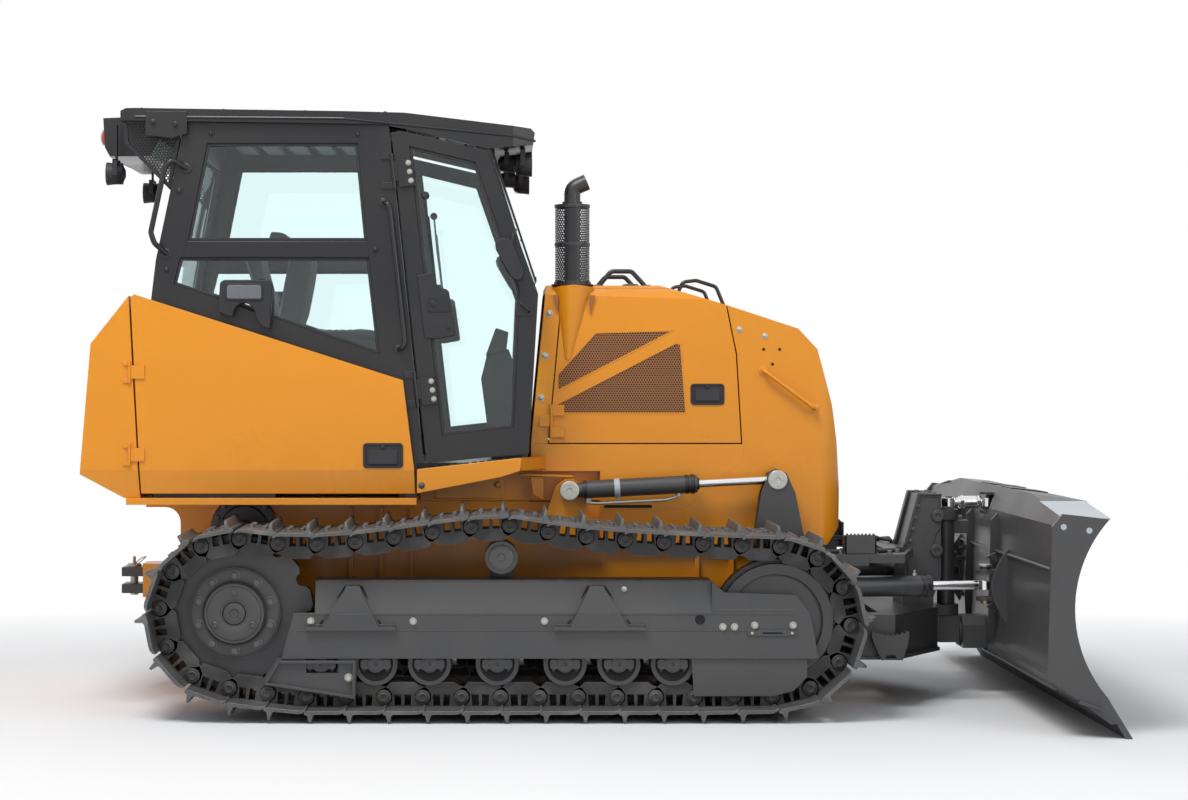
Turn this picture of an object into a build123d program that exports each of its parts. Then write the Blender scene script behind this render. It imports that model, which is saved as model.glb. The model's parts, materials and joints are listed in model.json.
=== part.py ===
from build123d import *
from math import atan2, cos, degrees, hypot, pi, radians, sin, sqrt
import os

os.makedirs("parts", exist_ok=True)

# Crawler dozer with a six-way blade.  Millimetres, +X forward, +Y to the machine's left, +Z up.
# Drawing positions run from the middle of the tracks on the ground.  The finished pieces are
# shifted so that the origin lies under the middle of the whole machine.

# ---- crawler track --------------------------------------------------------------------------
PITCH = 171.0             # pin to pin
SHOES = 40                # shoes in one track
TEETH = 12                # teeth on the sprocket
TRACK_Y = 889.0           # centre plane of each track
SHOE_WIDTH = 508.0
SHOE_PLATE = 18.0         # thickness of a shoe plate
GROUSER = 39.0            # height of the bar on a shoe
GROUSER_AT = -58.0        # the bar's place along its link
GROUSER_ROOT = 12.0       # half thickness of the bar at the plate
GROUSER_TIP = 6.0         # half thickness of the bar at its edge
PIN_TO_PLATE = 40.0       # pin line to the plate's inner face
PIN_TO_RAIL = 67.0        # pin line to the running surface of the links
RAIL_Y = 71.0             # centre of each row of links from the track's centre
RAIL_WIDTH = 42.0
BUSHING_R = 29.0          # bushing that the sprocket drives
SPROCKET_X, SPROCKET_Z = -1170.0, 466.0
SPROCKET_PHASE = 176.0    # direction of one seated pin, degrees
IDLER_X, IDLER_Z = 1200.0, 432.0
IDLER_R = 252.0
ROLLER_R = 80.0
ROLLER_FLANGE = 15.0      # flange height over the roller's tread
ROLLER_XS = (-788.0, -547.0, -310.0, -12.0, 286.0, 523.0, 759.0)
CARRIER_X, CARRIER_Z, CARRIER_R = 6.0, 712.0, 72.0
CHORD_RISE = 11.0         # pins over the carrier roller stand this much higher than its tread asks
RAMP = 90.0               # the ground run ends this far past the end rollers
SAG_REAR_START = -0.17    # slope of the pin line as it leaves the sprocket
SAG_REAR_END = 0.08       # slope behind the carrier roller
SAG_FRONT_START = -0.20   # slope in front of the carrier roller
SAG_FRONT_END = -0.04     # slope as it meets the idler
HUB_R, HUB_STEP = 201.0, 66.0              # flange of the sprocket's hub: radius, reach outward
COVER_R, COVER_OUT, RECESS_R = 131.0, 104.0, 53.0   # its end cover and the recess in it
FINAL_R = 180.0           # housing of the final drive
ROLLER_HALF = 92.0        # half width of a roller between its flanges

# ---- frames ---------------------------------------------------------------------------------
RAIL_IN, RAIL_OUT = 112.0, 140.0           # side plates of the track frame
RAIL_LOW, RAIL_TOP = 272.0, 398.0
COVER_BEND, COVER_TOP, COVER_HALF = 472.0, 612.0, 95.0   # bent cover over the rollers
CROSS_XS, CROSS_Z, CROSS_R = (-760.0, -90.0), 450.0, 70.0   # tubes that carry the track frame
CHASSIS_HALF = 400.0      # half width of the main frame
BELLY_Z = 330.0           # ground clearance
CHASSIS_TOP = 930.0
CHASSIS_REAR, CHASSIS_FRONT = -1480.0, 1440.0
TAIL_X, TAIL_Z, TAIL_R = -1640.0, 905.0, 70.0   # ledge over the rear face and the bend under it
WINCH_Y, WINCH_ZS = 300.0, (560.0, 780.0)  # bolt holes for a winch or ripper in the rear face
WINCH_HOLE_R, WINCH_DEEP = 10.5, 45.0
BRAKE_X, BRAKE_Z, BRAKE_R = -1182.0, 806.0, 155.0   # round cover on the hull over the final drive
TOW_X, TOW_R = -1752.0, 20.0
JAW = (480.0, 520.0, 560.0, 600.0)         # heights of the jaw's two plates
DECK_TOP, DECK_REAR = 965.0, -1675.0

# ---- blade, push frame and cylinders ----------------------------------------------------------
LIFT_X, LIFT_Z = 150.0, 430.0            # hinge of the push frame
HINGE_PIN_R = 38.0
ARM_IN, ARM_OUT = 500.0, 606.0           # inner and outer face of a push arm
ARM_PLATE = 20.0
EAR_X, EAR_Z = 1264.0, 1039.0            # pin of the lift cylinder on the push frame
LIFT_CYL_X, LIFT_CYL_Z = 317.0, 989.0    # pin of the lift cylinder on the chassis
LIFT_CYL_Y = (ARM_IN + ARM_OUT) / 2
SWIVEL_X = 2135.0                        # upright axis that the blade angles about
TILT_Z = 290.0                           # lengthwise axis that the blade tilts about
ANGLE_CYL_X, ANGLE_CYL_Y = 1510.0, 552.0 # rear pin of an angle cylinder
ANGLE_EYE_X, ANGLE_EYE_Y = 2240.0, 440.0 # its pin on the blade
ANGLE_CYL_Z = 548.0
TILT_CYL_X = 2200.0                      # plane of the tilt cylinder
TILT_CYL_Y, TILT_CYL_Z = 95.0, 800.0     # its pin on the swivel
TILT_EYE_Y = 640.0                       # its pin on the blade
LINK_X, LINK_EYE_X, LINK_Z = 2150.0, 2335.0, 909.0   # pins of the pitch link
LINK_HALF, LINK_PIN_R, LINK_EYE_R, LINK_R = 20.0, 14.0, 34.0, 26.0
LUG_R, SWIVEL_PIN_R = 60.0, 30.0
LOW_LUG, HIGH_LUG = (372.0, 422.0), (826.0, 876.0)   # heights of the swivel's two bearings
TILT_PIN_R, TILT_PIN_END = 34.0, 2262.0
LIFT_BARREL_R, LIFT_ROD_R = 41.0, 19.0
ANGLE_BARREL_R, ANGLE_ROD_R = 48.0, 20.5
TILT_BARREL_R, TILT_ROD_R = 36.0, 17.0
EYE_R = 42.0                             # outside radius of a rod's eye
BLADE_HALF = 1600.0
BLADE_TOP, BLADE_END_TOP = 968.0, 915.0
BLADE_BACK = 2310.0                      # plane of the blade's back
BLADE_DEEP_X, BLADE_DEEP_Z = BLADE_BACK + 83.0, 520.0
BLADE_FOOT_X, BLADE_FOOT_Z = BLADE_BACK + 219.0, 172.0
BLADE_TIP_X = BLADE_FOOT_X + 105.0       # reach of the cutting edge
END_PLATE = 25.0
EAR_PLATE, CLEVIS_R = 18.0, 42.0
FORK_HALF = 38.0                          # half the gap of the fork around the pitch link
CLEVIS_GAP = 76.0                        # between the two plates of the tilt cylinder's clevis
ANGLE_GAP = 108.0                        # the same for an angle cylinder, whose eye rises and falls in it
EYE_WIDTH = 56.0                         # width of a rod's eye
ANGLE_EYE_WIDTH = 40.0
FIT = 0.3                                # running gap between curved or sliding faces
SEAT = 0.3                               # gap under a wheel that rests on its track

# ---- body ---------------------------------------------------------------------------------
HOOD_HALF = 460.0
PANEL = 30.0              # thickness of hood and door panels
CAB_HALF = 740.0
BODY_OUT = 60.0           # tank and side doors stand this far outside the cab
BODY_HALF = CAB_HALF + BODY_OUT
SIDE_PANEL = 40.0         # thickness of a side door
STORE_GAP = 15.0          # between a side door and the hydraulic tank; the batteries stand 5 mm further in
CAB_WALL = 45.0
GLASS = 8.0
GAP = 6.0                 # gap between a door and its frame
REAR_X = -1882.0          # rearmost face
HINGE_Y, HINGE_R = CAB_HALF + 12.0, 9.0              # hinge pins of the cab doors stand just outside them
HINGE_PLACES = (0.13, 0.78)                # parts of the way down the hinge line
SIDE_HINGE_X, SIDE_HINGE_Y, SIDE_HINGE_R = -1658.0, BODY_HALF + 8.0, 7.0
SIDE_HINGES = (1130.0, 1500.0)             # foot of each side door hinge
HINGE_LENGTH, KNUCKLE = 60.0, 18.0         # a side door's hinge barrel; the fixed knuckles
SIDE_FOLD_Z, SIDE_FOLD_IN = 1091.0, 26.0   # the sides fold inward below this height
SIDE_CREASE = ((-1662.0, 1629.0), (-420.0, 1443.0))   # above this line they lean inward
SIDE_LEAN = 1.6                            # degrees
STACK_X, STACK_Y, STACK_R = 336.0, 98.0 - HOOD_HALF, 38.0
GUARD_R = 80.0
SEAT_Z = 1480.0                            # underside of the seat on its pedestal

ORIGIN_X = (BLADE_TIP_X + REAR_X) / 2
SIDES = {"r": -1, "l": 1}


# ---- helpers --------------------------------------------------------------------------------
def along_y(points, y0, y1):
    """Plate with an outline in the XZ plane, from y0 to y1."""
    face = make_face(Polyline(*[(x, y0, z) for x, z in points], close=True))
    return extrude(face, amount=y1 - y0, dir=(0, 1, 0))


def along_z(points, z0, z1):
    """Plate with an outline in the XY plane, from z0 to z1."""
    face = make_face(Polyline(*[(x, y, z0) for x, y in points], close=True))
    return extrude(face, amount=z1 - z0, dir=(0, 0, 1))


def along_x(points, x0, x1):
    """Plate with an outline in the YZ plane, from x0 to x1."""
    face = make_face(Polyline(*[(x0, y, z) for y, z in points], close=True))
    return extrude(face, amount=x1 - x0, dir=(1, 0, 0))


def block(x0, x1, y0, y1, z0, z1):
    """Block between two corners."""
    size = (abs(x1 - x0), abs(y1 - y0), abs(z1 - z0))
    return Pos((x0 + x1) / 2, (y0 + y1) / 2, (z0 + z1) / 2) * Box(*size)


def drum_y(x, z, radius, y0, y1):
    """Cylinder whose axis runs across the machine."""
    return Pos(x, (y0 + y1) / 2, z) * Rot(90, 0, 0) * Cylinder(radius, abs(y1 - y0))


def drum_z(x, y, radius, z0, z1):
    """Upright cylinder."""
    return Pos(x, y, (z0 + z1) / 2) * Cylinder(radius, abs(z1 - z0))


def drum_x(y, z, radius, x0, x1):
    """Cylinder whose axis runs along the machine."""
    return Pos((x0 + x1) / 2, y, z) * Rot(0, 90, 0) * Cylinder(radius, abs(x1 - x0))


def rod_between(a, b, radius, start=0.0, end=None):
    """Cylinder on the line from a to b, between two distances from a."""
    a, b = Vector(*a), Vector(*b)
    way = (b - a).normalized()
    far = (b - a).length if end is None else end
    plane = Plane(origin=a + way * start, z_dir=way)
    return extrude(plane * Circle(radius), amount=far - start)


def pipe(points, radius, bend):
    """Round tube along straight runs with bends of one radius."""
    path = FilletPolyline(*points, radius=bend)
    start = Plane(origin=path @ 0, z_dir=path % 0)
    return sweep(start * Circle(radius), path=path)


def save(name, shape):
    """Write one sub-part, shifted to the machine's origin."""
    export_step(Pos(-ORIGIN_X, 0, 0) * shape, os.path.join("parts", name + ".step"))


# ---- crawler track --------------------------------------------------------------------------
SPROCKET_PIN_R = PITCH / (2 * sin(pi / TEETH))
IDLER_PIN_R = hypot(IDLER_R + SEAT + PIN_TO_RAIL, PITCH / 2)
PIN_Z = SHOE_PLATE + GROUSER + PIN_TO_PLATE
ROLLER_Z = PIN_Z + PIN_TO_RAIL + ROLLER_R + SEAT
CARRIER_PIN_Z = CARRIER_Z + CARRIER_R + PIN_TO_RAIL + CHORD_RISE


def arc_points(cx, cz, radius, start, end, steps=120):
    """Points on an arc, angles in degrees from forward towards up."""
    angles = [radians(start + (end - start) * i / steps) for i in range(steps + 1)]
    return [(cx + radius * cos(a), cz + radius * sin(a)) for a in angles]


def span_points(x0, z0, m0, x1, z1, m1, steps=120):
    """Sagging span between two supports, from the heights and slopes at its ends."""
    points = []
    run = x1 - x0
    for i in range(steps + 1):
        t = i / steps
        h00, h10 = 2 * t**3 - 3 * t**2 + 1, t**3 - 2 * t**2 + t
        h01, h11 = -2 * t**3 + 3 * t**2, t**3 - t**2
        points.append((x0 + run * t, h00 * z0 + h10 * run * m0 + h01 * z1 + h11 * run * m1))
    return points


def line_points(a, b, steps=120):
    """Points along a straight run, ends left out."""
    return [(a[0] + (b[0] - a[0]) * i / steps, a[1] + (b[1] - a[1]) * i / steps)
            for i in range(1, steps)]


def pin_path(idler_x):
    """Closed line of the track pins, as a run of close points."""
    front, rear = ROLLER_XS[-1] + RAMP, ROLLER_XS[0] - RAMP
    low_rear = touch_angle(rear, PIN_Z, SPROCKET_X, SPROCKET_Z, SPROCKET_PIN_R, -1)
    low_front = touch_angle(front, PIN_Z, idler_x, IDLER_Z, IDLER_PIN_R, 1)
    leave = 90 + degrees(atan2(SAG_REAR_START, 1))
    meet = 90 + degrees(atan2(SAG_FRONT_END, 1))
    idler = arc_points(idler_x, IDLER_Z, IDLER_PIN_R, low_front, meet)
    sprocket = arc_points(SPROCKET_X, SPROCKET_Z, SPROCKET_PIN_R, leave, 360 + low_rear)
    fore = span_points(*idler[-1], SAG_FRONT_END, CARRIER_X, CARRIER_PIN_Z, SAG_FRONT_START)
    aft = span_points(CARRIER_X, CARRIER_PIN_Z, SAG_REAR_END, *sprocket[0], SAG_REAR_START)
    down = line_points(sprocket[-1], (rear, PIN_Z))
    ground = line_points((rear, PIN_Z), (front, PIN_Z), steps=400)
    up = line_points((front, PIN_Z), idler[0])
    return sprocket + down + ground + up + idler + fore[1:] + aft[1:-1]


def touch_angle(px, pz, cx, cz, radius, side):
    """Angle, at a circle's centre, of the point where a line from (px, pz) touches it."""
    towards = degrees(atan2(pz - cz, px - cx))
    spread = degrees(atan2(sqrt((px - cx)**2 + (pz - cz)**2 - radius**2), radius))
    return towards + side * spread


def march(path, start):
    """Pins one pitch apart along a closed path, and how far the last one runs past the first."""
    def reach(i, point):
        return hypot(path[i % total][0] - point[0], path[i % total][1] - point[1])

    total = len(path)
    first = min(range(total), key=lambda k: reach(k, start))
    pins, i = [start], first
    for _ in range(SHOES):
        here = pins[-1]
        while reach(i + 1, here) < PITCH:
            i += 1
        (ax, az), (bx, bz) = path[i % total], path[(i + 1) % total]
        part = (PITCH - reach(i, here)) / (reach(i + 1, here) - reach(i, here))
        pins.append((ax + (bx - ax) * part, az + (bz - az) * part))
    return pins, i + part - first - total


def track_pins():
    """Pin positions of one track; the idler slides until the last link closes the loop."""
    seat = radians(SPROCKET_PHASE)
    start = (SPROCKET_X + SPROCKET_PIN_R * cos(seat), SPROCKET_Z + SPROCKET_PIN_R * sin(seat))
    low, high = IDLER_X - PITCH, IDLER_X + PITCH
    for _ in range(40):
        middle = (low + high) / 2
        pins, past = march(pin_path(middle), start)
        if past > 0:
            low = middle
        else:
            high = middle
    return pins[:SHOES], middle


PINS, IDLER_RUN_X = track_pins()


def link_outline(row):
    """Points of one row, given as (along, outward) for each link, round the whole track."""
    points = []
    for k in range(SHOES):
        (ax, az), (bx, bz) = PINS[k], PINS[(k + 1) % SHOES]
        dx, dz = (bx - ax) / PITCH, (bz - az) / PITCH
        mx, mz = (ax + bx) / 2, (az + bz) / 2
        points += [(mx + u * dx + n * dz, mz + u * dz - n * dx) for u, n in row]
    return points


def shoe_row():
    """Outer edge of one shoe: plate, bar, plate."""
    face = PIN_TO_PLATE + SHOE_PLATE
    edge = face + GROUSER
    at = GROUSER_AT
    return [(-80, face), (at - GROUSER_ROOT, face), (at - GROUSER_TIP, edge),
            (at + GROUSER_TIP, edge), (at + GROUSER_ROOT, face), (80, face)]


def track(side):
    """One closed track: shoes with their bars, and two rows of links inside them."""
    inner = [(-78, PIN_TO_PLATE), (78, PIN_TO_PLATE)]
    rail = [(-60, -PIN_TO_RAIL), (60, -PIN_TO_RAIL)]
    middle = side * TRACK_Y
    half = SHOE_WIDTH / 2
    belt = along_y(link_outline(shoe_row()), middle - half, middle + half)
    belt -= along_y(link_outline(inner), middle - half - 1, middle + half + 1)
    for row in (-1, 1):
        y0 = middle + row * RAIL_Y - RAIL_WIDTH / 2
        band = along_y(link_outline(inner), y0, y0 + RAIL_WIDTH)
        band -= along_y(link_outline(rail), y0 - 1, y0 + RAIL_WIDTH + 1)
        belt += band
    return belt


def sprocket(side):
    """Toothed ring whose valleys hold the bushings, on the hub of the final drive."""
    middle = side * TRACK_Y
    step = 2 * pi / TEETH
    tip_r, half = SPROCKET_PIN_R + 14, 33.0
    edges, first, last = [], None, None
    for k in range(TEETH):
        a = radians(SPROCKET_PHASE) + k * step
        centre = (SPROCKET_X + SPROCKET_PIN_R * cos(a), SPROCKET_Z + SPROCKET_PIN_R * sin(a))
        r = BUSHING_R + FIT

        def spot(angle, radius):
            return (centre[0] + radius * cos(angle), middle, centre[1] + radius * sin(angle))

        def tip(angle):
            return (SPROCKET_X + tip_r * cos(angle), middle, SPROCKET_Z + tip_r * sin(angle))

        start, bottom, end = spot(a - 1.65, r), spot(a + pi, r), spot(a + 1.65, r)
        low, high = tip(a - 0.62 * step / 2), tip(a + 0.62 * step / 2)
        if last:
            edges.append(Line(last, low))
        edges += [Line(low, start), ThreePointArc(start, bottom, end), Line(end, high)]
        first, last = first or low, high
    edges.append(Line(last, first))
    face = make_face(Curve() + edges)
    ring = extrude(face, amount=half, dir=(0, 1, 0), both=True)
    out = side * COVER_OUT
    ring += drum_y(SPROCKET_X, SPROCKET_Z, HUB_R, middle - side * half, middle + side * HUB_STEP)
    ring += drum_y(SPROCKET_X, SPROCKET_Z, COVER_R, middle, middle + out)
    ring -= drum_y(SPROCKET_X, SPROCKET_Z, RECESS_R, middle + out - side * 14, middle + out + side)
    return ring


def final_drive(side):
    """Round housing between the main frame and the sprocket."""
    end = TRACK_Y - 33 - FIT
    body = drum_y(SPROCKET_X, SPROCKET_Z, FINAL_R, side * CHASSIS_HALF, side * (end - 120))
    body += drum_y(SPROCKET_X, SPROCKET_Z, FINAL_R - 40, side * CHASSIS_HALF, side * end)
    return body


def idler(side):
    """Front wheel of the track: two treads, a guide flange, a web and its axle."""
    middle = side * TRACK_Y
    edge = RAIL_Y + RAIL_WIDTH / 2
    wheel = drum_y(IDLER_RUN_X, IDLER_Z, IDLER_R, middle - edge, middle + edge)
    for s in (-1, 1):
        wheel -= drum_y(IDLER_RUN_X, IDLER_Z, IDLER_R - 45, middle + s * 22, middle + s * (edge + 1))
    wheel += drum_y(IDLER_RUN_X, IDLER_Z, IDLER_R + 18, middle - 44, middle + 44) \
        - drum_y(IDLER_RUN_X, IDLER_Z, IDLER_R - 45, middle - 45, middle + 45)
    wheel += drum_y(IDLER_RUN_X, IDLER_Z, 78, middle - 96, middle + 96)
    wheel += drum_y(IDLER_RUN_X, IDLER_Z, 42, middle - RAIL_IN, middle + RAIL_IN)
    return wheel


def roller(x, side):
    """Track roller with two flanged treads, on its shaft."""
    middle = side * TRACK_Y
    body = drum_y(x, ROLLER_Z, 38, middle - RAIL_IN, middle + RAIL_IN)
    body += drum_y(x, ROLLER_Z, ROLLER_R, middle - ROLLER_HALF, middle + ROLLER_HALF)
    for s in (-1, 1):
        body += drum_y(x, ROLLER_Z, ROLLER_R + ROLLER_FLANGE, middle + s * (ROLLER_HALF + 1),
                       middle + s * (ROLLER_HALF + 10))
        body += drum_y(x, ROLLER_Z, ROLLER_R, middle + s * ROLLER_HALF,
                       middle + s * (ROLLER_HALF + 1))
    return body


def carrier_roller(side):
    """Roller that carries the top run, held from its inner side."""
    middle = side * TRACK_Y
    body = drum_y(CARRIER_X, CARRIER_Z, CARRIER_R, middle - ROLLER_HALF, middle + ROLLER_HALF)
    inner = middle - side * ROLLER_HALF
    return body + drum_y(CARRIER_X, CARRIER_Z, 34, inner, inner - side * 30)


def track_wheels(side):
    """Idler, ground rollers and carrier roller of one track."""
    group = carrier_roller(side) + idler(side)
    for x in ROLLER_XS:
        group += roller(x, side)
    return group


def track_frame(side):
    """Welded beam between sprocket and idler, with covers, guards and brackets."""
    middle = side * TRACK_Y

    def plate(points, inner, outer):
        return along_y(points, middle + inner, middle + outer)

    section = [(-RAIL_OUT, RAIL_TOP), (-RAIL_OUT, COVER_BEND), (-COVER_HALF, COVER_TOP),
               (COVER_HALF, COVER_TOP), (RAIL_OUT, COVER_BEND), (RAIL_OUT, RAIL_TOP),
               (RAIL_IN, RAIL_TOP), (RAIL_IN, 350), (-RAIL_IN, 350), (-RAIL_IN, RAIL_TOP)]
    frame = along_x([(middle + y, z) for y, z in section], -812, 930)
    rail = [(-958, RAIL_LOW), (-905, COVER_BEND), (1298, COVER_BEND), (1298, 552), (1360, 470),
            (1398, RAIL_LOW)]
    nose = [(930, 400), (930, COVER_TOP - 4), (985, 562), (1298, 552), (1298, 400)]
    rear_guard = [(-1052, 163), (-980, 272), (-851, 272), (-851, 208), (-711, 208), (-711, 272),
                  (-628, 272), (-634, 95)]
    front_guard = [(841, 272), (1349, 272), (1349, 190), (1290, 130), (1203, 106), (851, 106)]
    for s in (-1, 1):
        frame += plate(rail, s * RAIL_IN, s * RAIL_OUT)
        frame += plate(nose, s * RAIL_IN, s * RAIL_OUT)
        frame += plate(front_guard, s * RAIL_IN, s * (RAIL_OUT - 12))
        frame += plate(rear_guard, s * RAIL_IN, s * (RAIL_OUT - 12))
    for foot, apex in (((-782, -530), (-672, -616)), ((305, 564), (394, 452))):
        gusset = [(foot[0], 403), (apex[0], 592), (apex[1], 592), (foot[1], 403)]
        frame += plate(gusset, side * COVER_HALF, side * 162)
        frame += plate([(foot[0] - 70, 398), (foot[0] - 70, 412), (foot[1] + 75, 412),
                        (foot[1] + 75, 398)], side * RAIL_IN, side * 168)
    arm = side * (RAIL_IN + 10)
    post = [(CARRIER_X - 60, COVER_TOP - 5), (CARRIER_X - 34, CARRIER_Z + 34),
            (CARRIER_X + 34, CARRIER_Z + 34), (CARRIER_X + 60, COVER_TOP - 5)]
    frame += along_y(post, middle - arm, middle - arm - side * 24)
    frame += along_y([(CARRIER_X - 60, COVER_TOP - 60), (CARRIER_X - 60, COVER_TOP),
                      (CARRIER_X + 60, COVER_TOP), (CARRIER_X + 60, COVER_TOP - 60)],
                     middle - side * 60, middle - arm - side * 24)
    for x in CROSS_XS:
        frame += drum_y(x, CROSS_Z, CROSS_R, side * CHASSIS_HALF, middle - side * RAIL_IN)
    return frame


# ---- main frame -----------------------------------------------------------------------------
def main_frame():
    """Closed welded hull between the tracks, with the pins of push frame and lift cylinders."""
    bend = [(CHASSIS_REAR - TAIL_R + TAIL_R * sin(a), TAIL_Z - TAIL_R + TAIL_R * cos(a))
            for a in [radians(15 * k) for k in range(7)]]
    side = [(-1150, BELLY_Z), (1130, BELLY_Z), (CHASSIS_FRONT, 570), (CHASSIS_FRONT, CHASSIS_TOP),
            (TAIL_X, CHASSIS_TOP), (TAIL_X, TAIL_Z), *bend, (CHASSIS_REAR, 480), (-1420, 430)]
    hull = along_y(side, -CHASSIS_HALF, CHASSIS_HALF)
    for s in (-1, 1):
        hull += block(480, 1000, s * (CHASSIS_HALF - 5), s * (HOOD_HALF - PANEL - FIT),
                      CHASSIS_TOP - 30, RAIL_Z)
        hull += drum_y(BRAKE_X, BRAKE_Z, BRAKE_R, s * CHASSIS_HALF, s * (CHASSIS_HALF + 22)) \
            & block(-2000, 0, -500, 500, BELLY_Z, DECK_TOP - 31)
        hull += drum_y(LIFT_X, LIFT_Z, 62, s * CHASSIS_HALF, s * (ARM_IN - FIT))
        hull += drum_y(LIFT_X, LIFT_Z, HINGE_PIN_R, s * CHASSIS_HALF, s * (ARM_OUT + 20))
        lug = [(LIFT_CYL_X - 150, CHASSIS_TOP - 180), (LIFT_CYL_X - 60, LIFT_CYL_Z + 20),
               (LIFT_CYL_X - 20, LIFT_CYL_Z + 52), (LIFT_CYL_X + 20, LIFT_CYL_Z + 52),
               (LIFT_CYL_X + 55, LIFT_CYL_Z + 10), (LIFT_CYL_X + 130, CHASSIS_TOP - 180)]
        hull += along_y(lug, s * (CHASSIS_HALF - 10), s * (LIFT_CYL_Y - LIFT_BARREL_R - 6))
        hull += drum_y(LIFT_CYL_X, LIFT_CYL_Z, EYE_R - 12, s * CHASSIS_HALF,
                       s * (LIFT_CYL_Y - EYE_WIDTH / 2 - 1))
        hull += drum_y(LIFT_CYL_X, LIFT_CYL_Z, 24, s * CHASSIS_HALF,
                       s * (LIFT_CYL_Y + EYE_WIDTH / 2 + 14))
        for z in WINCH_ZS:
            hull -= drum_x(s * WINCH_Y, z, WINCH_HOLE_R, CHASSIS_REAR - 10, CHASSIS_REAR + WINCH_DEEP)
    return hull + drawbar()


def drawbar():
    """Towing jaw at the back with its pin hole."""
    bar = block(-1800, -1690, -70, 70, JAW[0], JAW[1]) + block(-1800, -1690, -70, 70, JAW[2], JAW[3])
    root = [(-1700, -80), (CHASSIS_REAR + 5, -170), (CHASSIS_REAR + 5, 170), (-1700, 80)]
    bar += along_z(root, JAW[0] - 20, JAW[3] + 20)
    return bar - drum_z(TOW_X, 0, TOW_R, JAW[0] - 50, JAW[3] + 50)


def deck():
    """Plate that the tank, the cab and the side boxes stand on."""
    half = BODY_HALF - 5
    return block(DECK_REAR, -374, -half, half, DECK_TOP - 30, DECK_TOP) \
        + block(DECK_REAR, 130, -CHASSIS_HALF, CHASSIS_HALF, CHASSIS_TOP, DECK_TOP)


# ---- push frame and blade -------------------------------------------------------------------
def push_frame():
    """C-shaped frame: two arms, ears for the lift cylinders, the nose box, deck and tower."""
    low, top = 235.0, 425.0
    frame = None
    for s in (-1, 1):
        arm = [(LIFT_X - 30, LIFT_Z - 72), (LIFT_X - 72, LIFT_Z), (LIFT_X - 30, LIFT_Z + 72),
               (1000, 520), (1130, 560), (1190, EAR_Z - 60), (EAR_X - 42, EAR_Z + 30),
               (EAR_X, EAR_Z + 48), (EAR_X + 42, EAR_Z + 30), (1345, EAR_Z - 60),
               (1400, 700), (1680, 700), (1680, 650), (1450, 640), (1400, top + 40),
               (1560, top), (1700, top), (1700, low), (1200, low + 10)]
        cheek = along_y(arm, s * (ARM_OUT - ARM_PLATE), s * ARM_OUT)
        inner = along_y(arm, s * ARM_IN, s * (ARM_IN + ARM_PLATE))
        beam = [(LIFT_X - 30, LIFT_Z - 62), (LIFT_X - 62, LIFT_Z), (LIFT_X - 30, LIFT_Z + 62),
                (1000, 508), (1560, top), (1690, top), (1690, low + 6), (1200, low + 20)]
        core = along_y(beam, s * (ARM_IN + 10), s * (ARM_OUT - 10))
        half = cheek + inner + core
        half -= drum_y(LIFT_X, LIFT_Z, HINGE_PIN_R + FIT, s * (ARM_IN - 5), s * (ARM_OUT + 5))
        frame = half if frame is None else frame + half
    nose = [(1620, 600), (1800, 600), (2062, 200), (2062, -200), (1800, -600), (1620, -600),
            (1620, -520), (1740, -470), (1740, 470), (1620, 520)]
    frame += along_z(nose, low, top)
    lip = [(1640, 612), (1812, 612), (2072, 205), (2072, -205), (1812, -612), (1640, -612),
           (1640, -520), (1740, -470), (1740, 470), (1640, 520)]
    frame += along_z(lip, low - 14, low)
    shelf = [(1420, 600), (1845, 600), (1950, 165), (1950, -165), (1845, -600), (1420, -600),
             (1420, -520), (1690, -510), (1812, -440), (1812, 440), (1690, 510), (1420, 520)]
    frame += along_z(shelf, 660, 700)
    frame += tower(top) + swivel_lugs()
    for s in (-1, 1):
        for z0, z1 in ((top, ANGLE_CYL_Z - EYE_WIDTH / 2 - 3), (ANGLE_CYL_Z + EYE_WIDTH / 2 + 3, 660)):
            frame += block(ANGLE_CYL_X - 52, ANGLE_CYL_X + 40, s * ARM_IN, s * ARM_OUT, z0, z1)
    return frame


def tower(foot):
    """Box that rises from the nose of the push frame and holds the top of the swivel."""
    side = [(1905, foot), (1918, 692), (1985, 950), (2086, 948), (2086, 560), (2050, 470),
            (2050, foot)]
    box = None
    for s in (-1, 1):
        plate = along_y(side, s * 130, s * 155)
        box = plate if box is None else box + plate
    back = [(1905, foot), (1918, 692), (1985, 950), (2012, 950), (1943, 688), (1930, foot)]
    box += along_y(back, -155, 155)
    box += along_y([(1985, 950), (2086, 948), (2086, 918), (1976, 918)], -155, 155)
    return box


# ---- swivel, link, blade ----------------------------------------------------------------------
def swivel_lugs():
    """The two bearings on the push frame that the swivel turns in."""
    lugs = None
    for z0, z1 in (LOW_LUG, HIGH_LUG):
        lug = block(2030, SWIVEL_X, -LUG_R, LUG_R, z0, z1) + drum_z(SWIVEL_X, 0, LUG_R, z0, z1)
        lug -= drum_z(SWIVEL_X, 0, SWIVEL_PIN_R + FIT, z0 - 1, z1 + 1)
        lugs = lug if lugs is None else lugs + lug
    return lugs + block(1990, 2050, -132, 132, *HIGH_LUG)


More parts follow.
